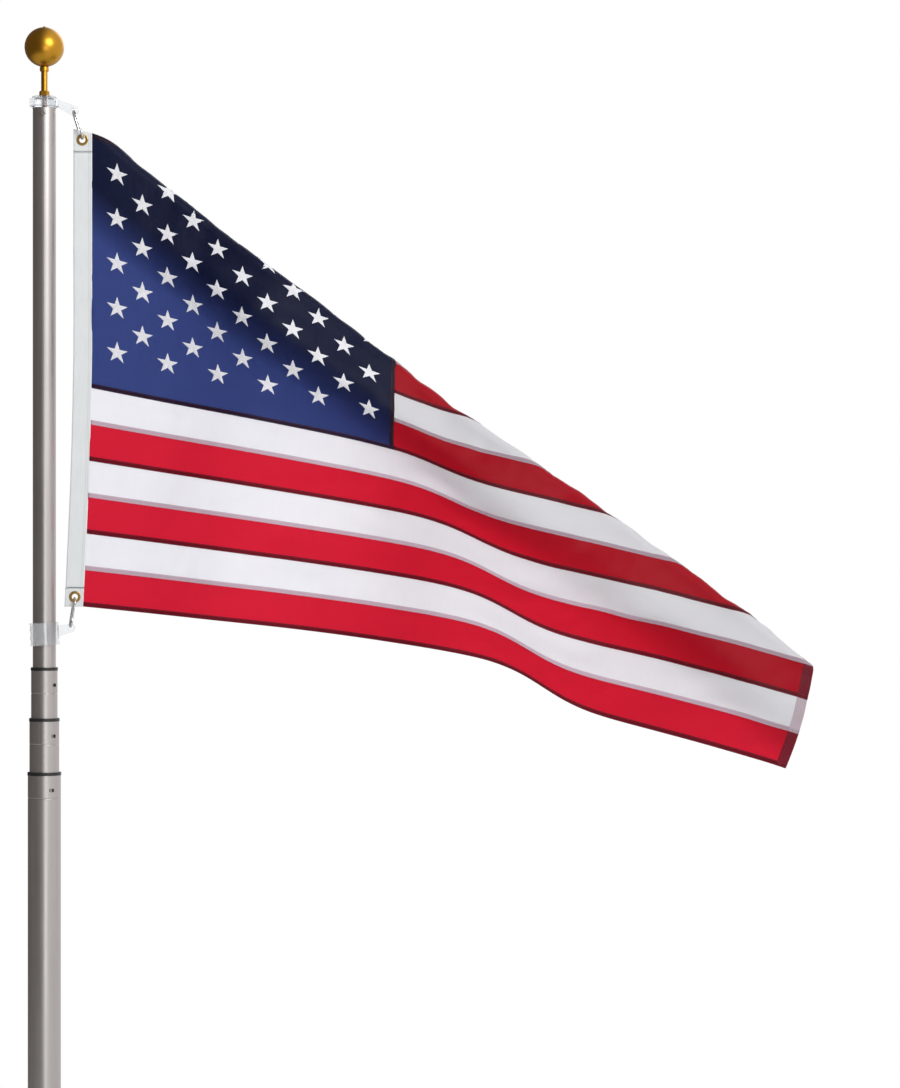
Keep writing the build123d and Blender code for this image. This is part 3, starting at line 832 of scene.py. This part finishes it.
    def surface(self, along: np.ndarray, down: np.ndarray, lift: float | np.ndarray = 0.0) -> np.ndarray:
        """The finished cloth, lifted off its middle along its normal.

        The normal is the cross product of the two slopes, each from a short step either way.

        Args:
            along: The way from the hoist to the fly.
            down: The way down the hoist.
            lift: How far off the middle, positive on the side away from the front.

        Returns:
            The points, with the last axis as X, Y and Z.
        """
        step = self.slope_step
        across = self.middle(along + step, down) - self.middle(along - step, down)
        drop = self.middle(along, down + step) - self.middle(along, down - step)
        normal = unit(np.cross(across, drop))
        return self.middle(along, down) + normal * (self.relief(along, down) + lift)[..., None]


@dataclass(frozen=True)
class Folding:
    """How an edge is folded: its width, and its rows of stitches as shares of the width."""

    width: float
    rows: tuple[float, ...]


@dataclass
class Flag:
    """The sewn flag: its canvas heading, canton, stripes, stars, seams, hems and stitches."""

    hang: Hang
    body: str = "flag"
    cloth: float = 0.5 * MM
    cell: float = 5 * MM
    canton_fly: float = 0.610
    canton_stripes: int = 7
    tuck: float = 2 * MM
    cloth_crease: float = 50.0
    seam: Folding = Folding(9 * MM, (1 / 6, 5 / 6))
    hem: Folding = Folding(23 * MM, (0.08, 0.29, 0.5, 0.71, 0.92))
    seam_thickness: float = 1.3 * MM
    seam_sides: int = 16
    heading_width: float = 36 * MM
    heading_thickness: float = 2 * MM
    heading_slant: float = 8 * MM
    heading_rows: tuple[float, ...] = (3 * MM, 6.5 * MM)
    heading_waves: tuple[tuple[float, float, float], ...] = ((1.6 * MM, 0.31, 0.8), (0.7 * MM, 0.083, 0.0))
    heading_ends: float = 36 * MM
    heading_still: float = 30 * MM
    heading_calm: float = 0.1
    heading_grid: tuple[int, int] = (170, 13)
    heading_rays: int = 12
    heading_rings: int = 7
    heading_overlap: float = 0.6 * MM
    weld: float = 0.02 * MM
    grommets: tuple[tuple[float, float], ...] = ((13.3 * MM, 18.2 * MM), (895.3 * MM, 16.3 * MM))
    grommet_hole: float = 7.25 * MM
    star_radius: float = 23 * MM
    star_waist: float = 0.382
    star_columns: int = 11
    star_first_row: float = 63 * MM
    star_rows: int = 9
    star_row_pitch: float = 43.8 * MM
    star_steps: int = 4
    star_rings: tuple[float, ...] = (0.25, 0.5, 0.75, 0.93, 1.0)
    star_rise: float = 0.5 * MM
    star_crease: float = 70.0
    stitch_pitch: float = 4 * MM
    stitch_length: float = 3 * MM
    stitch_width: float = 0.8 * MM
    stitch_rise: float = 0.15 * MM
    sewn: dict[Dye, list[np.ndarray]] = field(default_factory=dict)
    trims: dict[str, list[bpy.types.Object]] = field(default_factory=dict)

    def build(self) -> None:
        """Builds the whole flag, the sewing last."""
        self.build_seams()
        self.build_stars()
        self.build_stitches()
        self.build_canton()
        for number in range(1, self.hang.stripes + 1):
            self.build_stripe(number)
        self.build_heading()

    def dye(self, number: int) -> Dye:
        """The colour of a stripe, red for odd numbers from the top."""
        return Dye.RED if number % 2 else Dye.WHITE

    def stripe_start(self, number: int) -> float:
        """Where a stripe starts: at the canton, or below it at the hoist."""
        return self.canton_fly if number <= self.canton_stripes else 0.0

    def panel(self, along: Span, down: Span) -> Shape:
        """A closed panel of cloth: the finished surface lifted half the cloth's thickness either way.

        Args:
            along: The panel's ends on the way to the fly.
            down: Its ends on the way down.

        Returns:
            The surface.
        """
        counts = [round((high - low) / self.cell) + 1 for low, high in (along, down)]
        a, d = np.meshgrid(np.linspace(*along, counts[0]), np.linspace(*down, counts[1]), indexing="ij")
        half = np.full(a.shape, self.cloth / 2)
        points, faces = closed_sheet(self.hang.surface(a, d, half), self.hang.surface(a, d, -half))
        flat = np.stack([a, d], axis=-1)
        return Shape(points, faces, np.stack([flat, flat]))

    def build_canton(self) -> None:
        """The navy cloth in the upper hoist corner; its stars and side seam are built apart, on the same
        body.
        """
        down = self.canton_stripes * self.hang.stripe
        panel = self.panel((0.0, self.canton_fly), (0.0, down))
        made = piece("sewn_canton", panel, Dye.NAVY.cloth, self.body, self.cloth_crease)
        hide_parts("canton")

    def build_stripe(self, number: int) -> None:
        """One stripe, its upper edge tucked under the seam above.

        Args:
            number: Which stripe, from 1 at the top.
        """
        low, high = (number - 1) * self.hang.stripe, number * self.hang.stripe
        start = self.stripe_start(number)
        panel = self.panel((start, self.hang.fly), (max(low - self.tuck, 0.0), high))
        dye = self.dye(number)
        made = piece(f"sewn_stripe_{number:02d}", panel, dye.cloth, self.body, self.cloth_crease)
        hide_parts(f"stripe_{number:02d}")
        size = (self.hang.fly - start, self.hang.stripe)

    def course(self, first: Span, last: Span) -> tuple[float, np.ndarray]:
        """The length and the way, of unit length, from one place on the flat flag to another."""
        run = np.subtract(last, first)
        return float(np.hypot(*run)), unit(run)

    def band(self, first: Span, last: Span, width: float) -> Shape:
        """A folded band of cloth along a straight line on the flat flag.

        Its section is a flat rounded bar: half the width times a cosine and half the thickness times
        a sine, each drawn out to the power 0.5 so that the sides are flat.

        Args:
            first: Where its middle starts, along and down.
            last: Where its middle ends.
            width: How wide it is.

        Returns:
            The surface.
        """
        length, way = self.course(first, last)
        count = round(length / self.cell) + 1
        turn = np.linspace(0, TAU, self.seam_sides, endpoint=False)
        wide = np.sign(np.cos(turn)) * np.abs(np.cos(turn)) ** 0.5 * width / 2
        high = np.sign(np.sin(turn)) * np.abs(np.sin(turn)) ** 0.5 * self.seam_thickness / 2
        course = np.linspace(0, length, count)
        along = first[0] + course[:, None] * way[0] - wide[None, :] * way[1]
        down = first[1] + course[:, None] * way[1] + wide[None, :] * way[0]
        rings = self.hang.surface(along, down, np.broadcast_to(high, along.shape))
        return Shape(rings, closed_tube(rings), np.stack([along, down], axis=-1))

    def sew(self, dye: Dye, first: Span, last: Span, lift: float) -> None:
        """Lays a row of stitches on both faces of the cloth, from one place on the flat flag to another.

        A stitch is an eight-sided bead: its points are half its length and half its width either way,
        and half its width up and down, in the frame of the cloth's slope and normal.

        Args:
            dye: Whose thread is used.
            first: Where the row starts, along and down.
            last: Where it ends.
            lift: How far the thread lies off the cloth's middle.
        """
        length, way = self.course(first, last)
        middles = np.arange(self.stitch_pitch, length - self.stitch_pitch / 2, self.stitch_pitch)
        half = self.stitch_length / 2
        inner = self.hang.surface(first[0] + middles * way[0], first[1] + middles * way[1])
        for side in (lift, -lift):
            start, end = (
                self.hang.surface(first[0] + at * way[0], first[1] + at * way[1], np.full(at.shape, side))
                for at in (middles - half, middles + half)
            )
            self.sewn.setdefault(dye, []).append(self.beads(start, end, (start + end) / 2 - inner))

    def beads(self, starts: np.ndarray, ends: np.ndarray, up: np.ndarray) -> np.ndarray:
        """The six corners of each stitch of a row.

        Args:
            starts: Where each stitch starts.
            ends: Where it ends.
            up: The way off the cloth at each stitch, of any length.

        Returns:
            The corners by stitch: the two ends, the two sides, the top and the underside.
        """
        centre = (starts + ends) / 2
        line = (ends - starts) / 2
        across = unit(np.cross(line, up)) * self.stitch_width / 2
        up = unit(up) * self.stitch_width / 2
        ring = [centre + line, centre + across, centre - line, centre - across]
        return np.stack([*ring, centre + up, centre - up], axis=1)

    def fold(self, name: str, owner: str, dye: Dye, first: Span, last: Span, kind: Folding) -> None:
        """Lays a folded edge on a panel of cloth, with its rows of stitches.

        Args:
            name: The piece's name.
            owner: The solid whose panel it goes with.
            dye: The cloth that is folded.
            first: Where its middle starts, along and down.
            last: Where its middle ends.
            kind: Whether it is a seam or the hem at the fly.
        """
        finish = dye.hem if kind is self.hem else dye.seam
        made = piece(name, self.band(first, last, kind.width), finish, self.body)
        self.trims.setdefault(owner, []).append(made)
        aside = unit(np.subtract(last, first))[::-1] * kind.width
        for share in kind.rows:
            shift = aside * (0.5 - share)
            self.sew(dye, first + shift, last + shift, self.seam_thickness / 2)

    def build_seams(self) -> None:
        """The folded seam on the lower edge of each stripe and canton, the top hem and the fly hem."""
        stripe, fly, side = self.hang.stripe, self.hang.fly, self.canton_fly
        foot = self.canton_stripes * stripe
        half = self.seam.width / 2
        stripes = [(n, self.dye(n), f"stripe_{n:02d}") for n in range(1, self.hang.stripes + 1)]
        rows = [
            (f"seam_{n:02d}", owner, dye, self.stripe_start(n), fly, n * stripe - half)
            for n, dye, owner in stripes
        ]
        rows.append(("canton_foot_seam", "canton", Dye.NAVY, 0.0, side, foot - half))
        rows.append(("canton_top_hem", "canton", Dye.NAVY, 0.0, side, half))
        rows.append(("top_hem", "stripe_01", Dye.RED, side, fly, half))
        for name, owner, dye, start, end, middle in rows:
            self.fold(name, owner, dye, (start, middle), (end, middle), self.seam)
        self.fold("canton_side_seam", "canton", Dye.NAVY, (side - half, 0.0), (side - half, foot), self.seam)
        middle = fly - self.hem.width / 2
        for n, dye, owner in stripes:
            low, high = (n - 1) * stripe, n * stripe
            self.fold(f"fly_hem_{n:02d}", owner, dye, (middle, low), (middle, high), self.hem)

    def star_places(self) -> np.ndarray:
        """Sets out the stars, five in the odd columns and four between them in the even ones.

        Returns:
            The middle of each star, along and down.
        """
        columns, rows = np.meshgrid(np.arange(self.star_columns), np.arange(self.star_rows), indexing="ij")
        kept = (columns + rows) % 2 == 0
        along = (columns[kept] + 1) * self.canton_fly / (self.star_columns + 1)
        return np.stack([along, self.star_first_row + rows[kept] * self.star_row_pitch], axis=-1)

    def build_stars(self) -> None:
        """The stars, each a sewn star of thread raised on both faces of the cloth.

        The outline in polar form runs straight from a tip to a notch: the radius at an angle t past a
        tip is R r sin(36) / (r sin(36 - t) + R sin(t)), with R the tip's radius and r the notch's.
        The thread's height falls from the middle to the edge.
        """
        steps, rings = self.star_steps, np.array(self.star_rings)
        turn = np.arange(10 * steps) * TAU / (10 * steps)
        half_arm = TAU / 10
        within = np.abs((turn + half_arm) % (2 * half_arm) - half_arm)
        tip, notch = self.star_radius, self.star_radius * self.star_waist
        edge = tip * notch * math.sin(half_arm) / (notch * np.sin(half_arm - within) + tip * np.sin(within))
        arm = np.round(turn / (2 * half_arm)) * 2 * half_arm
        radius = np.append(0.0, rings[:, None] * edge)
        angle = np.append(0.0, np.tile(turn, len(rings)))
        lay = radius * np.cos(angle - np.append(0.0, np.tile(arm, len(rings))))
        dome = np.append(1.0, np.repeat(1 - rings**3, len(turn)))
        height = dome * self.star_rise + self.cloth / 2
        height[-len(turn) :] = self.cloth / 4
        places = self.star_places()
        along = places[:, :1] + radius * np.sin(angle)
        down = places[:, 1:] - radius * np.cos(angle)
        count = radius.size
        faces_out = self.hang.surface(along, down, np.broadcast_to(height, along.shape))
        faces_in = self.hang.surface(along, down, np.broadcast_to(-height, along.shape))
        around = np.arange(len(turn))
        fan = np.stack([np.zeros_like(around), around + 1, np.roll(around, -1) + 1], axis=-1)
        ring_cells = cells(len(rings), len(turn), 1, closed=True)
        rim = around + 1 + (len(rings) - 1) * len(turn)
        sides = edge_cells(rim, count)[:, ::-1]
        starts = np.arange(len(places)) * 2 * count
        groups = [fan, ring_cells, fan[:, ::-1] + count, ring_cells[:, ::-1] + count, sides]
        faces = [(group[None] + starts[:, None, None]).reshape(-1, group.shape[1]) for group in groups]
        points = np.stack([faces_out, faces_in], axis=1)
        flat = np.broadcast_to(np.stack([lay, radius], axis=-1), (len(places), 2, count, 2))
        thread = Thread("star_thread", display(240, 240, 246))
        shape = Shape(points, faces, flat)
        made = piece("stars", shape, thread, self.body, self.star_crease)
        self.trims["canton"].append(made)

    def build_stitches(self) -> None:
        """Joins all the stitches of one thread into one piece, and gives it to a panel of that cloth."""
        owners = {Dye.RED: "stripe_13", Dye.WHITE: "stripe_12", Dye.NAVY: "canton"}
        for dye, groups in self.sewn.items():
            made = self.stitch_piece(f"{dye.value}_stitches", groups, dye.thread)
            self.trims[owners[dye]].append(made)

    def stitch_piece(self, name: str, groups: Faces, thread: Thread) -> bpy.types.Object:
        """One piece of many stitches.

        Args:
            name: The piece's name.
            groups: Arrays of stitches, each stitch as its six corners.
            thread: What they are made of.

        Returns:
            The new object.
        """
        points = np.concatenate(groups)
        ring = np.arange(4)
        upper = np.stack([ring, np.roll(ring, -1), np.full(4, 4)], axis=-1)
        under = np.stack([np.roll(ring, -1), ring, np.full(4, 5)], axis=-1)
        starts = np.arange(len(points))[:, None, None] * 6
        faces = (np.concatenate([upper, under])[None] + starts).reshape(-1, 3)
        return piece(name, Shape(points, [faces]), thread, self.body)

    def heading_edges(self, down: np.ndarray) -> tuple[np.ndarray, np.ndarray]:
        """The heading's pole side and fly side at each height down the hoist."""
        fly_side = self.hang.seam_x(down) + self.heading_overlap
        return fly_side - self.heading_width, fly_side

    def heading_depth(self, down: np.ndarray) -> np.ndarray:
        """How deep the heading's middle lies: a sum of slow waves that die away at the eyelets.

        Args:
            down: The way down the hoist.

        Returns:
            The depth.
        """
        past = np.minimum(down, self.hang.hoist - down) - self.heading_still
        waves = [crest * np.sin(TAU * down / length + phase) for crest, length, phase in self.heading_waves]
        return np.clip(past / self.heading_calm, 0, 1) * sum(waves)

    def sew_heading(self) -> bpy.types.Object:
        """Two rows of canvas thread down each face of the heading, beside the flag.

        Returns:
            The new object.
        """
        middles = np.arange(self.stitch_pitch, self.hang.hoist - self.stitch_pitch, self.stitch_pitch)
        groups = []
        for inset in self.heading_rows:
            for side in (-1.0, 1.0):
                ends = []
                for down in (middles - self.stitch_length / 2, middles + self.stitch_length / 2):
                    depth = self.heading_depth(down) + side * (self.heading_thickness / 2 + self.stitch_rise)
                    across = self.heading_edges(down)[1] - inset
                    ends.append(np.stack([across, depth, self.hang.top - down], axis=-1))
                groups.append(self.beads(*ends, np.broadcast_to(BACK * side, ends[0].shape)))
        thread = Thread("canvas_thread", display(176, 180, 186))
        return self.stitch_piece("heading_stitches", groups, thread)

    def heading_cell(self, high: float, low: float, slant: float, hole: tuple[float, float]) -> np.ndarray:
        """A stretch of the heading round an eyelet: rays from the hole's rim to the stretch's outline.

        Args:
            high: The upper end, down the hoist.
            low: The lower end.
            slant: How much higher the upper end is at the pole side.
            hole: The middle of the hole, X and Z.

        Returns:
            Rings of X and Z from the hole out to the outline.
        """
        share = np.arange(self.heading_rays)[:, None] / self.heading_rays
        left, right = self.heading_edges(np.array([high, low]))
        upper, lower = self.hang.top - high, self.hang.top - low
        corners = np.array([[left[0], upper + slant], [right[0], upper], [right[1], lower], [left[1], lower]])
        ahead = np.roll(corners, -1, axis=0)
        outline = np.concatenate([here + (there - here) * share for here, there in zip(corners, ahead)])
        away = outline - hole
        rim = hole + unit(away) * self.grommet_hole
        steps = np.linspace(0, 1, self.heading_rings)[:, None, None]
        return rim + (outline - rim) * steps

    def build_heading(self) -> None:
        """The canvas band: two stretches with an eyelet hole each, and a grid between them.

        The middle surface is a plane with a slow wave in its depth that dies away at the eyelets. A
        solidify modifier gives it its thickness.
        """
        top, hoist, ends = self.hang.top, self.hang.hoist, self.heading_ends
        flat_parts, faces, first = [], [], 0
        for (inset, from_seam), (high, low), slant in zip(
            self.grommets, ((0.0, ends), (hoist - ends, hoist)), (self.heading_slant, 0.0)
        ):
            hole = np.array([float(self.hang.seam_x(np.array(inset))) - from_seam, top - inset])
            rings = self.heading_cell(high, low, slant, hole)
            flat_parts.append(rings.reshape(-1, 2))
            faces.append(cells(*rings.shape[:2], first, closed=True))
            first += rings.shape[0] * rings.shape[1]
        down = np.linspace(ends, hoist - ends, self.heading_grid[0])
        left, right = self.heading_edges(down)
        across = left[:, None] + (right - left)[:, None] * np.linspace(0, 1, self.heading_grid[1])
        height = np.broadcast_to((top - down)[:, None], self.heading_grid)
        flat_parts.append(np.stack([across, height], axis=-1).reshape(-1, 2))
        faces.append(cells(*self.heading_grid, first))
        places = np.concatenate(flat_parts)
        points = np.stack([places[:, 0], self.heading_depth(top - places[:, 1]), places[:, 1]], axis=-1)
        canvas = Woven(
            "heading_canvas_weave",
            display(238, 241, 242),
            thread=0.9 * MM,
            thread_height=0.08 * MM,
            roughness=0.8,
            cockle_height=0.3 * MM,
            through=0.0,
        )
        made = piece("canvas_heading", Shape(points, faces, places), canvas, self.body)
        bpy.context.view_layer.update()
        weld = made.modifiers.new("weld", "WELD")
        weld.merge_threshold = self.weld
        thick = made.modifiers.new("canvas", "SOLIDIFY")
        thick.thickness = self.heading_thickness
        thick.offset = 0.0
        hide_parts("heading")
        self.sew_heading()


@dataclass
class Pole:
    """The tubes with what seats in them, and the clear and gold fittings at the top."""

    thread_pitch: float = 1.5 * MM
    thread_depth: float = 0.7 * MM
    thread_sides: int = 40
    thread_steps: int = 5

    def build(self) -> None:
        """Dresses the tubes and fittings and cuts the rod's thread."""
        satin = DrawnMetal("satin_aluminium", display(174, 170, 168))
        black = Moulded("black_ring_plastic", display(26, 26, 28))
        grey = Moulded("grey_plug_plastic", display(96, 96, 100))
        sprung = CastMetal("sprung_steel", display(176, 176, 180))
        clear = Clear("clear_plastic_moulding", (0.93, 0.95, 0.97, 1.0))
        gold = CastMetal("satin_gold", display(188, 138, 44), roughness=0.22, fine_height=0.014 * MM)
        for section in ("base", "lower", "middle", "top"):
            dress(satin, f"{section}_tube")
            dress(grey, f"{section}_plug")
        dress(black, "base_ring", "lower_ring", "middle_ring")
        dress(sprung, "lower_button", "middle_button", "top_button")
        dress(clear, "truck_plug", "truck_lid", "swivel_ring", "lower_collar")
        dress(gold, "ball_lower_half", "ball_upper_half", "ball_stem", "lid_nut")
        dress(CastMetal("plated_screw", display(160, 156, 150), roughness=0.28), "truck_screw")
        self.build_rod()

    def build_rod(self) -> None:
        """The copper-coloured rod under the ball, with its thread.

        The radius at a height and a turn is the full radius less the depth times a triangle wave of
        the height in pitches less the turn, so that the ridge climbs one pitch in each turn.
        """
        low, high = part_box("ball_rod")
        radius = (high.x - low.x) / 2
        rows = round((high.z - low.z) / (self.thread_pitch / self.thread_steps)) + 1
        around = np.linspace(0, TAU, self.thread_sides, endpoint=False)
        height, turn = np.meshgrid(np.linspace(low.z, high.z, rows), around, indexing="ij")
        wave = np.abs(2 * ((height / self.thread_pitch - turn / TAU) % 1.0) - 1)
        reach = radius - self.thread_depth * wave
        points = np.stack([reach * np.cos(turn), reach * np.sin(turn), height], axis=-1)
        copper = CastMetal("copper_rod_metal", display(176, 104, 62), roughness=0.24, tint=0.3)
        faces = [group[:, ::-1] for group in closed_tube(points)]
        made = piece("threaded_rod", Shape(points, faces), copper, "top_section")
        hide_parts("ball_rod")


@dataclass
class Hooks:
    """The two snap hooks with their gates, and the brass eyelets."""

    def build(self) -> None:
        """Dresses the hooks and the eyelets."""
        steel = CastMetal("polished_wire", display(198, 198, 200), roughness=0.1, tint=0.2)
        brass = CastMetal("rolled_brass", display(196, 160, 88), tint=0.25, broad=Grain(90.0, 4.0))
        dress(steel, "upper_snap", "lower_snap", "upper_gate", "lower_gate")
        dress(brass, "upper_grommet", "lower_grommet")


def dress(finish: Finish, *nodes: str) -> None:
    """Gives one finish to some of the frame's own nodes.

    Args:
        finish: What they are made of.
        nodes: Their names.
    """
    for name in nodes:
        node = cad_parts[name]
        node.data.materials.clear()
        node.data.materials.append(finish.material())
        LOG.info("%s: %s", name, finish.name)


@dataclass
class Studio:
    """The pale floor, the soft light and the camera at the photograph's angle."""

    middle: tuple[float, float] = (0.783, 2.040)
    distance: float = 7.0
    lens: float = 120.0
    floor_radius: float = 5.2
    floor_fade: float = 2.2
    floor_sides: int = 96
    floor_colour: Colour = (0.86, 0.86, 0.86, 1.0)
    front_light: Colour = (0.18, 0.179, 0.18, 1.0)
    back_light: Colour = (0.9, 0.9, 0.9, 1.0)
    dark_screen: Colour = (0.15, 0.132, 0.12, 1.0)
    bright_room: Colour = (1.0, 0.985, 0.985, 1.0)
    screen_slope: float = 1.9
    screen_start: float = 0.2
    rays: tuple[str, ...] = ("Is Camera Ray", "Is Glossy Ray", "Is Transmission Ray")

    def build(self) -> None:
        """Sets the floor, the world, the lamps and the camera."""
        scene = bpy.context.scene
        scene.view_settings.view_transform = "Standard"
        self.build_floor()
        self.build_world(scene)
        self.lamp("key", (2.7, -3.6, 4.8), (0.5, 0.0, 2.2), 2.2, 165.0)
        self.lamp("fill", (2.2, -8.2, 0.9), (0.6, 0.0, 1.9), 3.0, 60.0)
        self.lamp("back", (1.4, 4.4, 4.8), (0.6, 0.0, 2.2), 3.0, 40.0)
        camera = linked("camera", bpy.data.cameras.new("camera"))
        camera.data.lens = self.lens
        camera.location = (self.middle[0], -self.distance, self.middle[1])
        camera.rotation_euler = (math.pi / 2, 0.0, 0.0)
        scene.camera = camera

    def build_floor(self) -> None:
        """A round pale floor at the foot, which fades out into the white round it."""
        turn = np.arange(self.floor_sides) * TAU / self.floor_sides
        rim = np.stack([np.cos(turn), np.sin(turn), np.zeros_like(turn)], axis=-1) * self.floor_radius
        mesh = bpy.data.meshes.new("floor")
        mesh.from_pydata(rim.tolist(), [], [list(range(self.floor_sides))])
        material = bpy.data.materials.new("pale_floor")
        material.use_nodes = True
        graph = Graph(material.node_tree)
        away = graph.add("ShaderNodeVectorMath", {"operation": "LENGTH"}, {0: graph.place()}, "Value")
        kept = ((self.floor_radius - away) * (1 / self.floor_fade)).clamped(0.0, 1.0)
        sockets = {"Base Color": self.floor_colour, "Roughness": 0.7, "Alpha": kept}
        paint = graph.principled(sockets)
        graph.add("ShaderNodeOutputMaterial", {}, {"Surface": paint})
        mesh.materials.append(material)
        floor = linked("floor", mesh)

    def build_world(self, scene: bpy.types.Scene) -> None:
        """A world that is white to the camera and through glass.

        As light it is grey in front and white behind, so that the white background shines through the
        cloth. Metal shows it white at the right and darker at the left, as beside a dark screen.

        Args:
            scene: The scene whose world it is.
        """
        world = bpy.data.worlds.new("studio")
        world.use_nodes = True
        scene.world = world
        graph = Graph(world.node_tree)
        ahead = graph.add("ShaderNodeTexCoord", {}, {}, "Generated")
        across = graph.add("ShaderNodeSeparateXYZ", {}, {"Vector": ahead}, "X")
        deep = graph.add("ShaderNodeSeparateXYZ", {}, {"Vector": ahead}, "Y")
        room = graph.blend((deep * 0.5 + 0.5).clamped(0.0, 1.0), self.front_light, self.back_light)
        screen = (across * self.screen_slope + self.screen_start).clamped(0.0, 1.0)
        mirrored = graph.blend(screen, self.dark_screen, self.bright_room)
        rays = {name: graph.add("ShaderNodeLightPath", {}, {}, name) for name in self.rays}
        shown = graph.blend(rays["Is Glossy Ray"], room, mirrored)
        plain = (rays["Is Camera Ray"] + rays["Is Transmission Ray"]).clamped(0.0, 1.0)
        white = graph.blend(plain, shown, (1.0, 1.0, 1.0, 1.0))
        light = graph.add("ShaderNodeBackground", {}, {"Color": white, "Strength": 1.0})
        graph.add("ShaderNodeOutputWorld", {}, {"Surface": light})

    def lamp(self, name: str, place: Place, aim: Place, size: float, watts: float) -> None:
        """A square soft lamp, aimed at a point.

        Args:
            name: The lamp's name.
            place: Where it hangs.
            aim: The point that it faces.
            size: Its side in metres.
            watts: Its power.
        """
        made = linked(name, bpy.data.lights.new(name, "AREA"))
        made.data.size = size
        made.data.energy = watts
        made.location = place
        made.rotation_euler = (Vector(aim) - Vector(place)).to_track_quat("-Z", "Y").to_euler()


def main() -> None:
    """Builds the studio, the pole, the hooks and the flag."""
    logging.basicConfig(level=logging.INFO, format="%(message)s")
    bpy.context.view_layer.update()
    Studio().build()
    Pole().build()
    Hooks().build()
    Flag(Hang(rim=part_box("top_tube")[1].z)).build()


if __name__ == "__main__":
    main()
